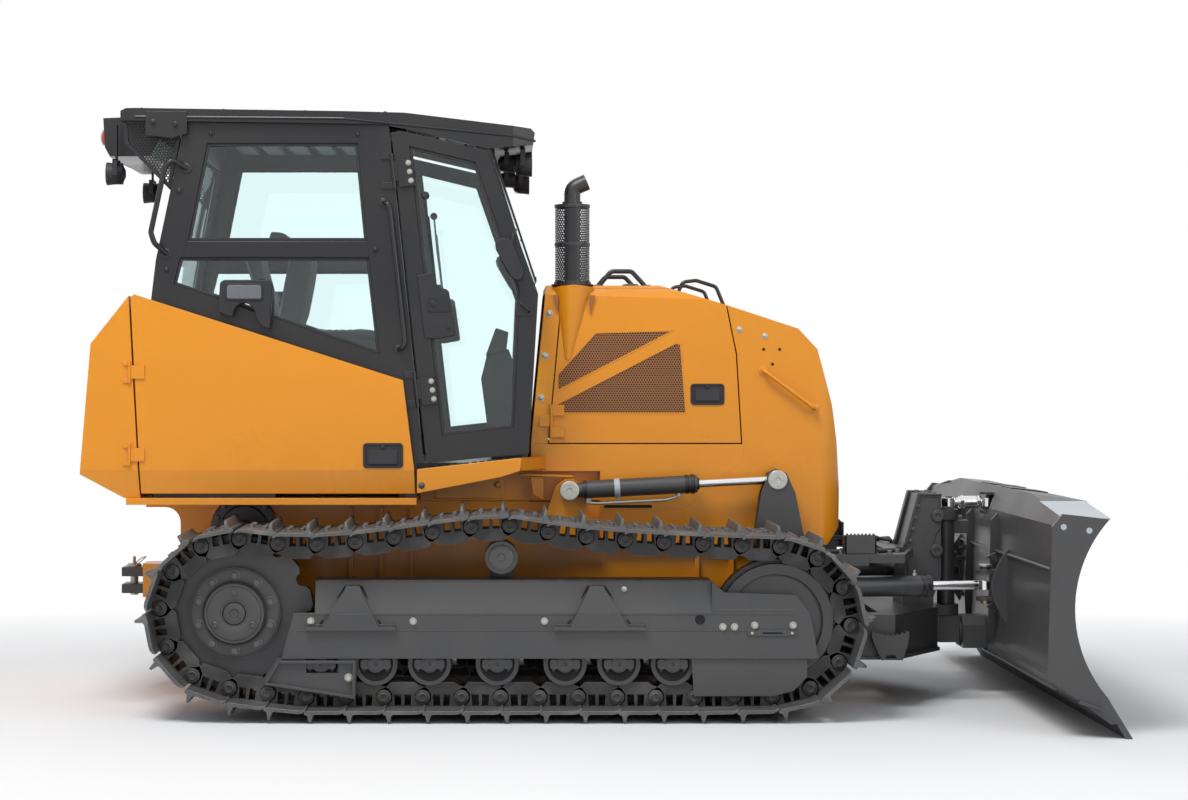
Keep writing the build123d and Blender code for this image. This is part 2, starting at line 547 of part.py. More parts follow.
def swivel():
    """Upright post that lets the blade angle, with the tilt pin below and the link's fork above."""
    low, high = TILT_Z - 48, LOW_LUG[0] - 2
    post = drum_z(SWIVEL_X, 0, SWIVEL_PIN_R, high - 10, HIGH_LUG[1] + 6)
    post += drum_z(SWIVEL_X, 0, 42, LOW_LUG[1] + 2, HIGH_LUG[0] - 2)
    post += block(SWIVEL_X - 42, SWIVEL_X + 60, -50, 50, low, high)
    post += drum_x(0, TILT_Z, TILT_PIN_R, SWIVEL_X + 60, TILT_PIN_END)
    head_low = HIGH_LUG[1] + 2
    post += block(SWIVEL_X - 38, LINK_X + 20, -42, 42, head_low, LINK_Z - LINK_HALF - 1)
    post += drum_z(LINK_X, 0, LINK_PIN_R, LINK_Z - LINK_HALF - 2, LINK_Z + LINK_HALF + 8)
    for x0, x1 in ((TILT_CYL_X - EYE_WIDTH / 2 - 14, TILT_CYL_X - EYE_WIDTH / 2 - 2),
                   (TILT_CYL_X + EYE_WIDTH / 2 + 2, TILT_CYL_X + EYE_WIDTH / 2 + 14)):
        ear = [(0, TILT_CYL_Z - 40), (TILT_CYL_Y, TILT_CYL_Z - 36), (TILT_CYL_Y + 34, TILT_CYL_Z),
               (TILT_CYL_Y, TILT_CYL_Z + 22), (0, TILT_CYL_Z + 22)]
        post += along_x(ear, x0, x1)
    post += block(SWIVEL_X, TILT_CYL_X + EYE_WIDTH / 2 + 14, -20, 30, TILT_CYL_Z - 40,
                  TILT_CYL_Z + 22)
    post += drum_x(TILT_CYL_Y, TILT_CYL_Z, 16, TILT_CYL_X - EYE_WIDTH / 2 - 4,
                   TILT_CYL_X + EYE_WIDTH / 2 + 4)
    return post


def pitch_link():
    """Screwed link between the head of the swivel and the top of the blade."""
    link = drum_x(0, LINK_Z, LINK_R, LINK_X + 46, LINK_EYE_X - 30)
    link += drum_x(0, LINK_Z, LINK_HALF - 1, LINK_X + 20, LINK_X + 48)
    for x in (LINK_X, LINK_EYE_X):
        link += drum_z(x, 0, LINK_EYE_R, LINK_Z - LINK_HALF, LINK_Z + LINK_HALF)
    link -= drum_z(LINK_X, 0, LINK_PIN_R + FIT, LINK_Z - LINK_HALF - 1, LINK_Z + LINK_HALF + 1)
    return link


def blade_outline(back, top_x, top_z, y):
    """Side view of the blade as an edge loop: curved face, sloping top, straight back."""
    face = ThreePointArc((top_x, y, top_z), (BLADE_DEEP_X, y, BLADE_DEEP_Z),
                         (BLADE_FOOT_X, y, BLADE_FOOT_Z))
    rest = Polyline((BLADE_FOOT_X, y, BLADE_FOOT_Z), (BLADE_FOOT_X - 21, y, 159),
                    (BLADE_FOOT_X + 37, y, 64), (BLADE_FOOT_X + 14, y, 61),
                    (back + 2, y, 250), (back - 6, y, 280), (back, y, 450), (back + 14, y, 884),
                    (back + 58, y, top_z + 22), (top_x, y, top_z))
    return face + rest


def blade():
    """Curved mouldboard on its box, with end plates, clevises and the seat of the tilt pin."""
    y = BLADE_HALF - END_PLATE
    top_x = BLADE_FOOT_X + 24
    body = extrude(make_face(blade_outline(BLADE_BACK, top_x, BLADE_TOP, -y)), amount=2 * y,
                   dir=(0, 1, 0))
    for s in (-1, 1):
        slope = [(s * (BLADE_HALF + 1), BLADE_END_TOP), (s * 820, BLADE_TOP + 30),
                 (s * (BLADE_HALF + 1), BLADE_TOP + 60)]
        body -= along_x(slope, 2200, BLADE_TIP_X + 66)
        end = make_face(blade_outline(BLADE_BACK - 26, top_x - 16, BLADE_END_TOP, s * BLADE_HALF))
        body += extrude(end, amount=END_PLATE, dir=(0, -s, 0))
        body += clevis(s)
    seat = [(-100, TILT_Z - 70), (-100, TILT_Z + 40), (-50, TILT_Z + 80), (50, TILT_Z + 80),
            (100, TILT_Z + 40), (100, TILT_Z - 70)]
    body += along_x(seat, SWIVEL_X + 66, BLADE_BACK + 10)
    body -= drum_x(0, TILT_Z, TILT_PIN_R + FIT, SWIVEL_X, TILT_PIN_END + 6)
    for z0, z1 in ((LINK_Z - FORK_HALF - 12, LINK_Z - FORK_HALF),
                   (LINK_Z + FORK_HALF, LINK_Z + FORK_HALF + 12)):
        fork = block(LINK_EYE_X, 2420, -60, 60, z0, z1) + drum_z(LINK_EYE_X, 0, 40, z0, z1)
        body += fork
    body -= block(LINK_EYE_X - 60, LINK_EYE_X + 62, -90, 90, LINK_Z - FORK_HALF, LINK_Z + FORK_HALF)
    cheek = [(TILT_EYE_Y - 55, TILT_CYL_Z + 85), (TILT_EYE_Y - 30, TILT_CYL_Z - 25),
             (TILT_EYE_Y + 10, TILT_CYL_Z - 45), (TILT_EYE_Y + 55, TILT_CYL_Z - 10),
             (TILT_EYE_Y + 70, TILT_CYL_Z + 85)]
    body += along_x(cheek, TILT_CYL_X - CLEVIS_GAP / 2 - 16, TILT_CYL_X - CLEVIS_GAP / 2)
    body += along_x(cheek, TILT_CYL_X + CLEVIS_GAP / 2, BLADE_BACK + 30)
    body += block(TILT_CYL_X - CLEVIS_GAP / 2 - 16, BLADE_BACK + 30, TILT_EYE_Y - 55,
                  TILT_EYE_Y + 70, TILT_CYL_Z + 65, TILT_CYL_Z + 85)
    return body


def clevis(s):
    """Two plates on the blade's back, over and under the eye of an angle cylinder."""
    y, half = s * ANGLE_EYE_Y, ANGLE_GAP / 2
    ears = None
    for low in (ANGLE_CYL_Z - half - EAR_PLATE, ANGLE_CYL_Z + half):
        ear = block(ANGLE_EYE_X, BLADE_BACK + 15, y - CLEVIS_R, y + CLEVIS_R, low, low + EAR_PLATE)
        ear += drum_z(ANGLE_EYE_X, y, CLEVIS_R, low, low + EAR_PLATE)
        ears = ear if ears is None else ears + ear
    top = ANGLE_CYL_Z + half + EAR_PLATE
    return ears + drum_z(ANGLE_EYE_X, y, 24, top, top + 14)


def cutting_edge():
    """Bolted edge along the foot of the blade."""
    edge = [(BLADE_FOOT_X, BLADE_FOOT_Z), (BLADE_TIP_X, 0), (BLADE_TIP_X - 28, 0),
            (BLADE_FOOT_X - 21, 159)]
    return along_y(edge, -BLADE_HALF, BLADE_HALF)


# ---- cylinders --------------------------------------------------------------------------------
def barrel(base, eye, radius, rod_r, start, end, bore, pin_axis, pin_r, width=EYE_WIDTH):
    """Cylinder barrel with its base eye and the bore that its rod slides in."""
    tube = rod_between(base, eye, radius, start, end)
    tube += rod_between(base, eye, radius * 0.8, EYE_R - 8, start)
    tube += eye_disc(base, pin_axis, EYE_R, width)
    tube -= rod_between(base, eye, rod_r + FIT, bore, end + 1)
    return tube - eye_disc(base, pin_axis, pin_r + FIT, width + 2)


def eye_disc(at, axis, radius, width):
    """Disc of an eye or its hole, centred on a pin."""
    way = Vector(*axis)
    plane = Plane(origin=Vector(*at) - way * (width / 2), z_dir=way)
    return extrude(plane * Circle(radius), amount=width)


def rod(base, eye, rod_r, inner, pin_axis, width=EYE_WIDTH):
    """Chromed rod with the eye at its outer end."""
    length = (Vector(*eye) - Vector(*base)).length
    return rod_between(base, eye, rod_r, inner, length - 10) + eye_disc(eye, pin_axis, EYE_R, width)


def lift_ends(s):
    return (LIFT_CYL_X, s * LIFT_CYL_Y, LIFT_CYL_Z), (EAR_X, s * LIFT_CYL_Y, EAR_Z)


def angle_ends(s):
    return (ANGLE_CYL_X, s * ANGLE_CYL_Y, ANGLE_CYL_Z), (ANGLE_EYE_X, s * ANGLE_EYE_Y, ANGLE_CYL_Z)


def tilt_ends():
    return (TILT_CYL_X, TILT_CYL_Y, TILT_CYL_Z), (TILT_CYL_X, TILT_EYE_Y, TILT_CYL_Z)


def angle_trunnion(s):
    """Cross piece that lets an angle cylinder swing and pitch on the push frame."""
    x, y, z = angle_ends(s)[0]
    half = EYE_WIDTH / 2 + 3 - FIT
    return drum_z(x, y, 24, z - half, z + half) + drum_y(x, z, 15, y - 46, y + 46)


def angle_barrel(s):
    """Angle cylinder barrel with a fork over its cross piece."""
    base, eye = angle_ends(s)
    tube = rod_between(base, eye, ANGLE_BARREL_R, 62, 472)
    tube -= rod_between(base, eye, ANGLE_ROD_R + FIT, 70, 473)
    for side in (-1, 1):
        y0 = base[1] + side * 28
        cheek = drum_y(base[0], base[2], 30, y0, y0 + side * 16)
        cheek += block(base[0], base[0] + 72, y0, y0 + side * 16, base[2] - 24, base[2] + 24)
        cheek -= drum_y(base[0], base[2], 15 + FIT, y0 - 1 * side, y0 + 17 * side)
        tube += cheek
    return tube


# ---- hood -------------------------------------------------------------------------------------
HOOD_FOOT, RAIL_Z = 1074.0, 1055.0        # rear foot of the hood; top of the rail inside its sides
SKIRT_X, SKIRT_Z = 461.0, 734.0           # the nose reaches back to here under the side panels
HOOD_PROFILE = [(143, HOOD_FOOT), (143, 1204), (213, 1932), (741, 1932), (1047, 1839), (1375, 1731),
                (1463, 1637), (1533, 1379), (1557, 1215), (1574, 980), (1569, 816),
                (1510, SKIRT_Z), (SKIRT_X, SKIRT_Z), (SKIRT_X, HOOD_FOOT)]
CREASE = ((160, 1368), (1047, 1825))      # line on the hood's side above which it leans inward
LEAN = 3.0                                # degrees
DOOR_LOW, DOOR_REAR = 1204.0, 225.0
DOOR_EDGE_Y = HOOD_HALF - 56.0            # a door folds over the shoulder up to this plane
SLAT_HIGH, SLAT_PITCH, POST_PITCH = 14.0, 30.0, 150.0   # height and spacing of the grilles' slats
GRILLES = (                               # outlines (x, z), over and under the crease
    [(262, 1440), (262, 1520), (440, 1715), (800, 1722), (700, 1665)],
    [(262, 1337), (262, 1385), (810, 1668), (836, 1660), (862, 1337)])
GRILLE_IN, SLAT = 14.0, 10.0              # the slats' depth behind the panel's face and thickness
DOOR_HINGE_X, DOOR_HINGE_Y = 236.0, HOOD_HALF + 14.0   # upright hinge line of an engine door
DOOR_HINGE_ZS, DOOR_HINGE_LENGTH, DOOR_HINGE_R = (1230.0, 1330.0), 50.0, 8.0
NOSE_SEAM = [(1047, 2100), (1047, 1839), (1093, 1614), (1117, DOOR_LOW)]
PANEL_SEAM = [(1125, 1144), (1102, 1111), (1023, 1051), (848, 897), (SKIRT_X, 897),
              (SKIRT_X, HOOD_FOOT)]       # lower edge of the panel under an engine door


def hood_form(inset):
    """Closed outer form of the hood, drawn in by a wall thickness."""
    half = HOOD_HALF - inset
    form = along_y(HOOD_PROFILE, -half, half) if inset == 0 else \
        along_y(inner_profile(inset), -half, half)
    plan = Pos((100 + 1576 - inset) / 2, 0, 700) * extrude(
        RectangleRounded(1476 - inset, 2 * half, 110 - inset), amount=1300)
    form &= plan + block(100, 800, -half, half, 700, 2000)
    shoulder = [(-half, 700), (-half, 1860 - inset), (-half + 30, 1900 - inset),
                (-half + 110, 1950 - inset), (half - 110, 1950 - inset), (half - 30, 1900 - inset),
                (half, 1860 - inset), (half, 700)]
    form &= along_x(shoulder, 100, 1600)
    (x0, z0), (x1, z1) = CREASE
    for s in (-1, 1):
        run = Vector(x1 - x0, 0, z1 - z0).normalized()
        up = Vector(-run.Z, 0, run.X)
        out = (Vector(0, s, 0) * cos(radians(LEAN)) + up * sin(radians(LEAN))).normalized()
        plane = Plane(origin=(x0, s * half, z0), x_dir=run, z_dir=out)
        form -= plane * Pos(0, 0, 100) * Box(4000, 4000, 200)
    return form


def inner_profile(inset):
    """Hood profile drawn in by a wall thickness, open at its rear and foot."""
    points = [(x, z) for x, z in HOOD_PROFILE[2:12]]
    moved = []
    for i, (x, z) in enumerate(points):
        ax, az = points[max(i - 1, 0)]
        bx, bz = points[min(i + 1, len(points) - 1)]
        length = hypot(bx - ax, bz - az)
        moved.append((x + inset * (bz - az) / length, z - inset * (bx - ax) / length))
    return [(50, 600), (50, moved[0][1])] + moved + [(1400, 600)]


def zone(points):
    """Through-block used to cut one panel out of the hood's shell."""
    half = HOOD_HALF + 140
    return along_y(points, -half, half)


def door_zone(grow):
    """Side view of an engine door, larger or smaller by a gap."""
    front = 2 * grow - GAP
    return [(DOOR_REAR - grow, DOOR_LOW - grow), (DOOR_REAR + 75 - grow, 2000), (1030 + front, 2000),
            (1047 + front, 1839), (1093 + front, 1614), (1117 + front, DOOR_LOW - grow)]


def hood_pieces():
    """Hood top, nose, lower panels and engine doors, all cut from one shell."""
    shell = hood_form(0) - hood_form(PANEL)
    rear = zone([(0, HOOD_FOOT - 10), (0, 2100), *NOSE_SEAM, *PANEL_SEAM, (SKIRT_X, HOOD_FOOT - 10)])
    fixed = shell & rear
    nose = shell - rear
    doors = {}
    for name, s in SIDES.items():
        door = fixed & zone(door_zone(0)) & hood_side(s, DOOR_EDGE_Y)
        for outline in GRILLES:
            door -= along_y(outline, s * (HOOD_HALF - 90), s * (HOOD_HALF + 20))
            door += grille(outline, s)
        doors[name] = door + door_hinges(s)
        fixed -= zone(door_zone(GAP)) & hood_side(s, DOOR_EDGE_Y - GAP)
    low = fixed & block(0, 1300, -600, 600, 600, DOOR_LOW - GAP / 2)
    top = fixed - block(0, 1300, -600, 600, 600, DOOR_LOW - GAP / 2)
    z0, z1 = DOOR_HINGE_ZS[0] + DOOR_HINGE_LENGTH + FIT, DOOR_HINGE_ZS[1] - FIT
    for s in (-1, 1):
        top += drum_z(DOOR_HINGE_X, s * DOOR_HINGE_Y, DOOR_HINGE_R, z0, z1)
        top += block(DOOR_HINGE_X - 55, DOOR_REAR, s * (HOOD_HALF - 4), s * DOOR_HINGE_Y, z0, z1)
        top += block(DOOR_REAR - 5, DOOR_HINGE_X, s * (HOOD_HALF + 1), s * DOOR_HINGE_Y, z0, z1)
    return top, low, nose, doors


def door_hinges(s):
    """Two hinges along the rear edge of an engine door."""
    hinges = Part()
    y = s * DOOR_HINGE_Y
    for low in DOOR_HINGE_ZS:
        high = low + DOOR_HINGE_LENGTH
        hinges += drum_z(DOOR_HINGE_X, y, DOOR_HINGE_R, low, high)
        hinges += block(DOOR_HINGE_X, DOOR_HINGE_X + 60, y - s * 5, y, low, high)
        hinges += block(DOOR_HINGE_X + 34, DOOR_HINGE_X + 60, s * (HOOD_HALF - 4), y, low, high)
    return hinges


def hood_side(s, inner):
    """Region that holds one side wall of the hood, out from an inner plane."""
    return block(0, 1600, s * inner, s * (HOOD_HALF + 140), 600, 2050)


def grille(outline, s):
    """Slats and posts set into a door's opening."""
    (x0, x1), (z0, z1) = [(min(side), max(side)) for side in zip(*outline)]
    outer = HOOD_HALF - GRILLE_IN
    bars = Part()
    for row in range(int((z1 - z0) / SLAT_PITCH) + 1):
        z = z0 + row * SLAT_PITCH
        bars += block(x0, x1, s * (outer - SLAT), s * outer, z, z + SLAT_HIGH)
    for post in range(1, int((x1 - x0) / POST_PITCH) + 1):
        x = x0 + post * POST_PITCH
        bars += block(x, x + SLAT_HIGH, s * (outer - SLAT), s * outer, z0, z1)
    return bars & along_y(outline, s * (HOOD_HALF - 90), s * (HOOD_HALF + 20))


# ---- cab ----------------------------------------------------------------------------------------
HINGE_TOP = (-495.0, 2630.0)              # rear edge of a cab door, top and foot
HINGE_FOOT = (-337.0, 1120.0)
CAB_SIDE = [(-1571, 1850), (-1549, 2034), (-1436, 2570), (-1424, 2655.5), (-501, 2641.7),
            (-343, 1120), (-374, 1118), (-374, DECK_TOP), (-425, DECK_TOP), (-478, 1460)]
UPPER_WINDOW = [(-1318, 2560), (-640, 2560), (-598, 2120), (-1405, 2120)]
LOWER_WINDOW = [(-1440, 2045), (-590, 2045), (-540, 1610), (-1470, 1925)]
CAB_DOOR = [(-489, 2606), (-450, 2616), (-60, 2526), (172, 1881), (130, 1163), (-331, 1120)]
DOOR_GLASS = [(-410, 2548), (-110, 2475), (90, 1900), (62, 1278), (-262, 1242)]
SIDE_TANK = [(-1655, 1864), (-1640, 1878), (-435, 1493), (-385, 1094), (-380, 985), (-1608, 985)]
A_PILLAR = [(-115, 2560), (-50, 2560), (160, 1890), (125, 1150), (70, 1150), (100, 1880)]
WINDSCREEN = [(150, 1938 + FIT), (158, 1938 + FIT), (-38, 2528), (-46, 2528)]
REAR_WALL = [(-1571, 1850), (-1424, 2655.5), (-1379, 2654.8), (-1526, 1850)]
FLOOR = (1090.0, 1120.0)
FRONT_WALL_X = 95.0


def inset_window(points, s, y):
    """Pane that fills a window, set in the middle of the cab wall."""
    return along_y(points, s * (y - GLASS), s * y)


def cab_side(s):
    """Side of the cab behind the door: pillars, rails and sill round two windows."""
    wall = along_y(CAB_SIDE, s * (CAB_HALF - CAB_WALL), s * CAB_HALF)
    wall -= along_y(UPPER_WINDOW, s * (CAB_HALF - 60), s * (CAB_HALF + 1))
    wall -= along_y(LOWER_WINDOW, s * (CAB_HALF - 60), s * (CAB_HALF + 1))
    y = s * HINGE_Y
    for t in HINGE_PLACES:
        x, z = hinge_point(t)
        for near, far in ((-50 - FIT, -80), (50 + FIT, 80)):
            wall += rod_between((x, y, z), (x + 11, y, z - 100), HINGE_R, near, far)
            wall += block(x - 55, x, s * CAB_HALF, y, z - near * 1.03, z - far)
    return wall


def cab_rear():
    """Sloping rear wall round the rear window."""
    half = CAB_HALF - CAB_WALL
    wall = along_y(REAR_WALL, -half, half)
    return wall - block(-1700, -1300, -590, 590, 1930, 2540)


def cab_front():
    """Door posts, windscreen frame and the wall behind the engine."""
    frame = None
    half = CAB_HALF - CAB_WALL - FIT
    for s in (-1, 1):
        post = along_y(A_PILLAR, s * (half - 50), s * half)
        frame = post if frame is None else frame + post
    frame += block(FRONT_WALL_X, 125, -half, half, FLOOR[0], 1900)
    frame += along_y([(100, 1880), (160, 1890), (150, 1938), (85, 1938)], -half, half)
    frame += along_y([(-115, 2546), (-50, 2546), (-50, 2600), (-115, 2600)], -half, half)
    for s in (-1, 1):
        frame -= block(0, 200, s * 490, s * 620, 1400, 1830)
    return frame - along_y(ROOF_SIDE, -800, 800)


def cab_floor():
    """Floor, inner side walls behind the side boxes and the shelf over them."""
    half = CAB_HALF - CAB_WALL
    edge = FRONT_WALL_X - FIT
    floor = block(-1526, edge, -500, 500, *FLOOR) + block(-425, edge, -half, half, *FLOOR)
    for s in (-1, 1):
        floor += along_y([(-1526, DECK_TOP), (-1526, 1850), (-478, 1490), (-425, DECK_TOP)],
                         s * 470, s * 500)
        floor += along_y([(-1526, 1850), (-478, 1490), (-478, 1460), (-1526, 1820)],
                         s * 500, s * half)
        floor += along_y([(-478, 1490), (-425, DECK_TOP), (-455, DECK_TOP), (-508, 1480)],
                         s * 500, s * half)
    floor += block(-1526, -1496, -500, 500, DECK_TOP, 1850)
    for s in (-1, 1):
        floor += step(s)
    return floor + block(-425, 94, -400, 400, DECK_TOP, FLOOR[0])


ROOF_SIDE = [(-1707, 2660), (-1707, 2705), (-1680, 2716), (-430, 2697), (140, 2634), (158, 2615),
             (150, 2560), (-60, 2538), (-495, 2642)]
ROOF_PLAN = [(-1720, 745), (-1640, 772), (-700, 772), (60, 690), (170, 640), (170, -640),
             (60, -690), (-700, -772), (-1640, -772), (-1720, -745)]


def roof():
    """Roof shell that overhangs the doors and the rear window."""
    shell = along_y(ROOF_SIDE, -800, 800) & along_z(ROOF_PLAN, 2400, 2800)
    half = CAB_HALF - CAB_WALL
    shell -= block(-1380, -116, -half, half, 2400, 2646)
    return shell + air_unit()


def air_unit():
    """Air conditioner hung under the rear of the roof."""
    return along_y([(-1700, 2700), (-1820, 2695), (-1812, 2560), (-1790, 2520), (-1600, 2520),
                    (-1560, 2600), (-1560, 2662)], -520, 520)


def cab_door(s):
    """Full height door frame with its glass opening."""
    door = along_y(CAB_DOOR, s * (CAB_HALF - CAB_WALL + 5), s * CAB_HALF)
    door -= along_y(DOOR_GLASS, s * (CAB_HALF - 60), s * (CAB_HALF + 1))
    for t in HINGE_PLACES:
        x, z = hinge_point(t)
        door += rod_between((x, s * HINGE_Y, z), (x + 11, s * HINGE_Y, z - 100), HINGE_R, -50, 50)
        door += block(x, x + 70, s * (CAB_HALF + 3), s * (HINGE_Y + 4), z - 44, z + 44)
        door += block(x + 24, x + 70, s * (CAB_HALF - 1), s * (HINGE_Y + 4), z - 44, z + 44)
    return door


def hinge_point(t):
    """Point on the hinge line of a cab door, from its top (0) to its foot (1)."""
    (x0, z0), (x1, z1) = HINGE_TOP, HINGE_FOOT
    return x0 + (x1 - x0) * t - 6, z0 + (z1 - z0) * t


def side_form():
    """Outer form of the tank and side doors: a crease above, a fold below."""
    half, low = BODY_HALF, DECK_TOP - 5
    form = along_x([(-half + SIDE_FOLD_IN, low), (-half, SIDE_FOLD_Z), (-half, 2000), (half, 2000),
                    (half, SIDE_FOLD_Z), (half - SIDE_FOLD_IN, low)], -2000, 0)
    (x0, z0), (x1, z1) = SIDE_CREASE
    run = Vector(x1 - x0, 0, z1 - z0).normalized()
    up = Vector(-run.Z, 0, run.X)
    for s in (-1, 1):
        out = Vector(0, s, 0) * cos(radians(SIDE_LEAN)) + up * sin(radians(SIDE_LEAN))
        plane = Plane(origin=(x0, s * half, z0), x_dir=run, z_dir=out.normalized())
        form -= plane * Pos(0, 0, 50) * Box(6000, 6000, 100)
    return form


def rear_tank():
    """Fuel tank across the back of the machine, with the fixed knuckles of the side doors."""
    side = [(-1664, 1871), (-1833, 1657), (REAR_X, 1072), (-1687, DECK_TOP), (-1614, DECK_TOP)]
    tank = along_y(side, -BODY_HALF, BODY_HALF) & side_form()
    for s in (-1, 1):
        y = s * SIDE_HINGE_Y
        for low in SIDE_HINGES:
            for z in (low - FIT - KNUCKLE, low + HINGE_LENGTH + FIT):
                tank += drum_z(SIDE_HINGE_X, y, SIDE_HINGE_R, z, z + KNUCKLE)
                tank += block(SIDE_HINGE_X - 30, SIDE_HINGE_X, s * (BODY_HALF - 4), y, z, z + KNUCKLE)
    return tank


def side_door(s):
    """Side door over the equipment beside the cab."""
    panel = along_y(SIDE_TANK, s * (BODY_HALF - SIDE_PANEL), s * BODY_HALF) & side_form()
    return panel + side_hinge(s, SIDE_HINGES[0]) + side_hinge(s, SIDE_HINGES[1])


def side_hinge(s, low):
    """Hinge leaf and barrel of a side door."""
    y, high = s * SIDE_HINGE_Y, low + HINGE_LENGTH
    leaf = block(SIDE_HINGE_X, -1590, y - s * 5, y, low, high)
    leaf += block(-1608, -1590, s * (BODY_HALF - 4), y, low, high)
    return leaf + drum_z(SIDE_HINGE_X, y, SIDE_HINGE_R, low, high)


def equipment():
    """Hydraulic tank on one side, batteries and tool box on the other."""
    outer = BODY_HALF - SIDE_PANEL - STORE_GAP
    tank = block(-1560, -1010, -outer, -510, DECK_TOP, 1640)
    box = block(-1560, -1180, 510, outer - 5, DECK_TOP, 1340)
    cells = block(-1100, -640, 530, outer - 5, DECK_TOP, 1230)
    return tank + box + cells


def step(s):
    """Sloping step between the side box and the hood."""
    wedge = [(-372, 1094), (94, 1146), (94, 1085), (0, 1057), (-372, 985)]
    return along_y(wedge, s * (CAB_HALF - CAB_WALL), s * BODY_HALF)


def exhaust():
    """Stack with its outlet bent forward, inside a round guard on the hood."""
    x, y = STACK_X, STACK_Y
    guard = drum_z(x, y, GUARD_R, 1938, 2304) - drum_z(x, y, GUARD_R - 3, 1950, 2310)
    return guard + pipe([(x, y, 1800), (x, y, 2370), (x + 52, y, 2440)], STACK_R, 60)


def engine():
    """Engine and cooling pack as one plain block."""
    return block(330, 1180, -290, 290, CHASSIS_TOP, 1640)


def seat():
    """Operator's seat: cushion and back."""
    base = (-1020.0, -480.0)
    cushion = block(base[0] + 60, base[1], -240, 240, SEAT_Z, 1600)
    back = along_y([(-1010, SEAT_Z), (-1120, 2180), (-1020, 2200), (-900, 1600), (-900, SEAT_Z)],
                   -230, 230)
    return cushion + back


def consoles():
    """Consoles with armrests on both sides of the seat, on one pedestal."""
    group = block(-1000, -520, -200, 200, 1120, SEAT_Z - FIT)
    for s in (-1, 1):
        group += block(-1050, -480, s * 265, s * 420, 1120, 1560)
        group += block(-960, -560, s * 275, s * 410, 1560, 1680)
        group += block(-1000, -520, s * 200, s * 265, 1120, 1200)
    return group


def dash():
    """Instrument tower in front of the seat."""
    return along_y([(-40, 1120), (-90, 1500), (-60, 1620), (40, 1640), (94, 1500), (94, 1120)],
                   -170, 170)


def work_lamps():
    """Lamps under the front and rear edges of the roof."""
    lamps = Part()
    for s in (-1, 1):
        lamps += drum_x(s * 560, 2480, 55, 70, 140) + block(90, 110, s * 550, s * 570, 2480, 2553.4)
        lamps += drum_x(s * 590, 2470, 50, -1720, -1660) \
            + block(-1700, -1680, s * 580, s * 600, 2470, 2659)
    return lamps


def grab_rails():
    """Rails on the hood."""
    rails = Part()
    for s in (-1, 1):
        y = s * 330
        rails += pipe([(452, y, 1932), (452, y, 2001), (660, y, 2001), (660, y, 1932)], 11, 30)
    return rails


def cab_glass():
    """Fixed panes: windscreen, rear window and the windows behind the doors."""
    panes = along_y(WINDSCREEN, -640, 640)
    panes += along_y([(-1548, 1931), (-1434, 2539), (-1426, 2539), (-1540, 1931)], -590 + FIT, 590 - FIT)
    for s in (-1, 1):
        for window in (UPPER_WINDOW, LOWER_WINDOW):
            panes += inset_window(window, s, CAB_HALF - 12)
    return panes


def controls():
    """Consoles beside the seat and the instrument tower."""
    return consoles() + dash()


def save_all():
    """Write the parts one by one."""
    across, upright, along = (0, 1, 0), (0, 0, 1), (1, 0, 0)
    top, low, nose, doors = hood_pieces()
    for name, s in SIDES.items():
        save("track_" + name, track(s))
        save("sprocket_" + name, sprocket(s) + final_drive(s))
        save("track_wheels_" + name, track_wheels(s))
        save("track_frame_" + name, track_frame(s))
        base, eye = lift_ends(s)
        save("lift_barrel_" + name,
             barrel(base, eye, LIFT_BARREL_R, LIFT_ROD_R, 62, 584, 75, across, 24))
        save("lift_rod_" + name, rod(base, eye, LIFT_ROD_R, 300, across))
        base, eye = angle_ends(s)
        save("angle_trunnion_" + name, angle_trunnion(s))
        save("angle_barrel_" + name, angle_barrel(s))
        save("angle_rod_" + name, rod(base, eye, ANGLE_ROD_R, 268, upright, ANGLE_EYE_WIDTH))
        save("engine_door_" + name, doors[name])
        save("cab_side_" + name, cab_side(s))
        save("cab_door_" + name, cab_door(s))
        save("door_glass_" + name, inset_window(DOOR_GLASS, s, CAB_HALF - 12))
        save("side_door_" + name, side_door(s))
    base, eye = tilt_ends()
    save("tilt_barrel", barrel(base, eye, TILT_BARREL_R, TILT_ROD_R, 55, 390, 62, along, 16))
    save("tilt_rod", rod(base, eye, TILT_ROD_R, 160, along))
    save("main_frame", main_frame())
    save("deck", deck())
    save("push_frame", push_frame())
    save("swivel", swivel())
    save("pitch_link", pitch_link())
    save("blade", blade())
    save("cutting_edge", cutting_edge())
    save("hood_top", top - drum_z(STACK_X, STACK_Y, STACK_R + FIT, 1700, 2100))
    save("hood_low", low)
    save("nose", nose)
    save("cab_rear", cab_rear())
    save("cab_front", cab_front())
    save("cab_floor", cab_floor())
    save("cab_glass", cab_glass())
    save("roof", roof())
    save("rear_tank", rear_tank())
    save("equipment", equipment())
    save("exhaust", exhaust())
    save("engine", engine())
    save("seat", seat())
    save("controls", controls())
    save("work_lamps", work_lamps())
    save("grab_rails", grab_rails())


save_all()
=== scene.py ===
"""Crawler dozer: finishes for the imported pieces, and the shoes, trim and glass round them."""
import json
import logging
from dataclasses import dataclass, field
from enum import Enum
from math import acos, atan, atan2, cos, dist, exp, hypot, pi, radians, sin, sqrt, tan
from typing import Callable, Iterable, Sequence

import bmesh
import bpy
from mathutils import Matrix, Vector

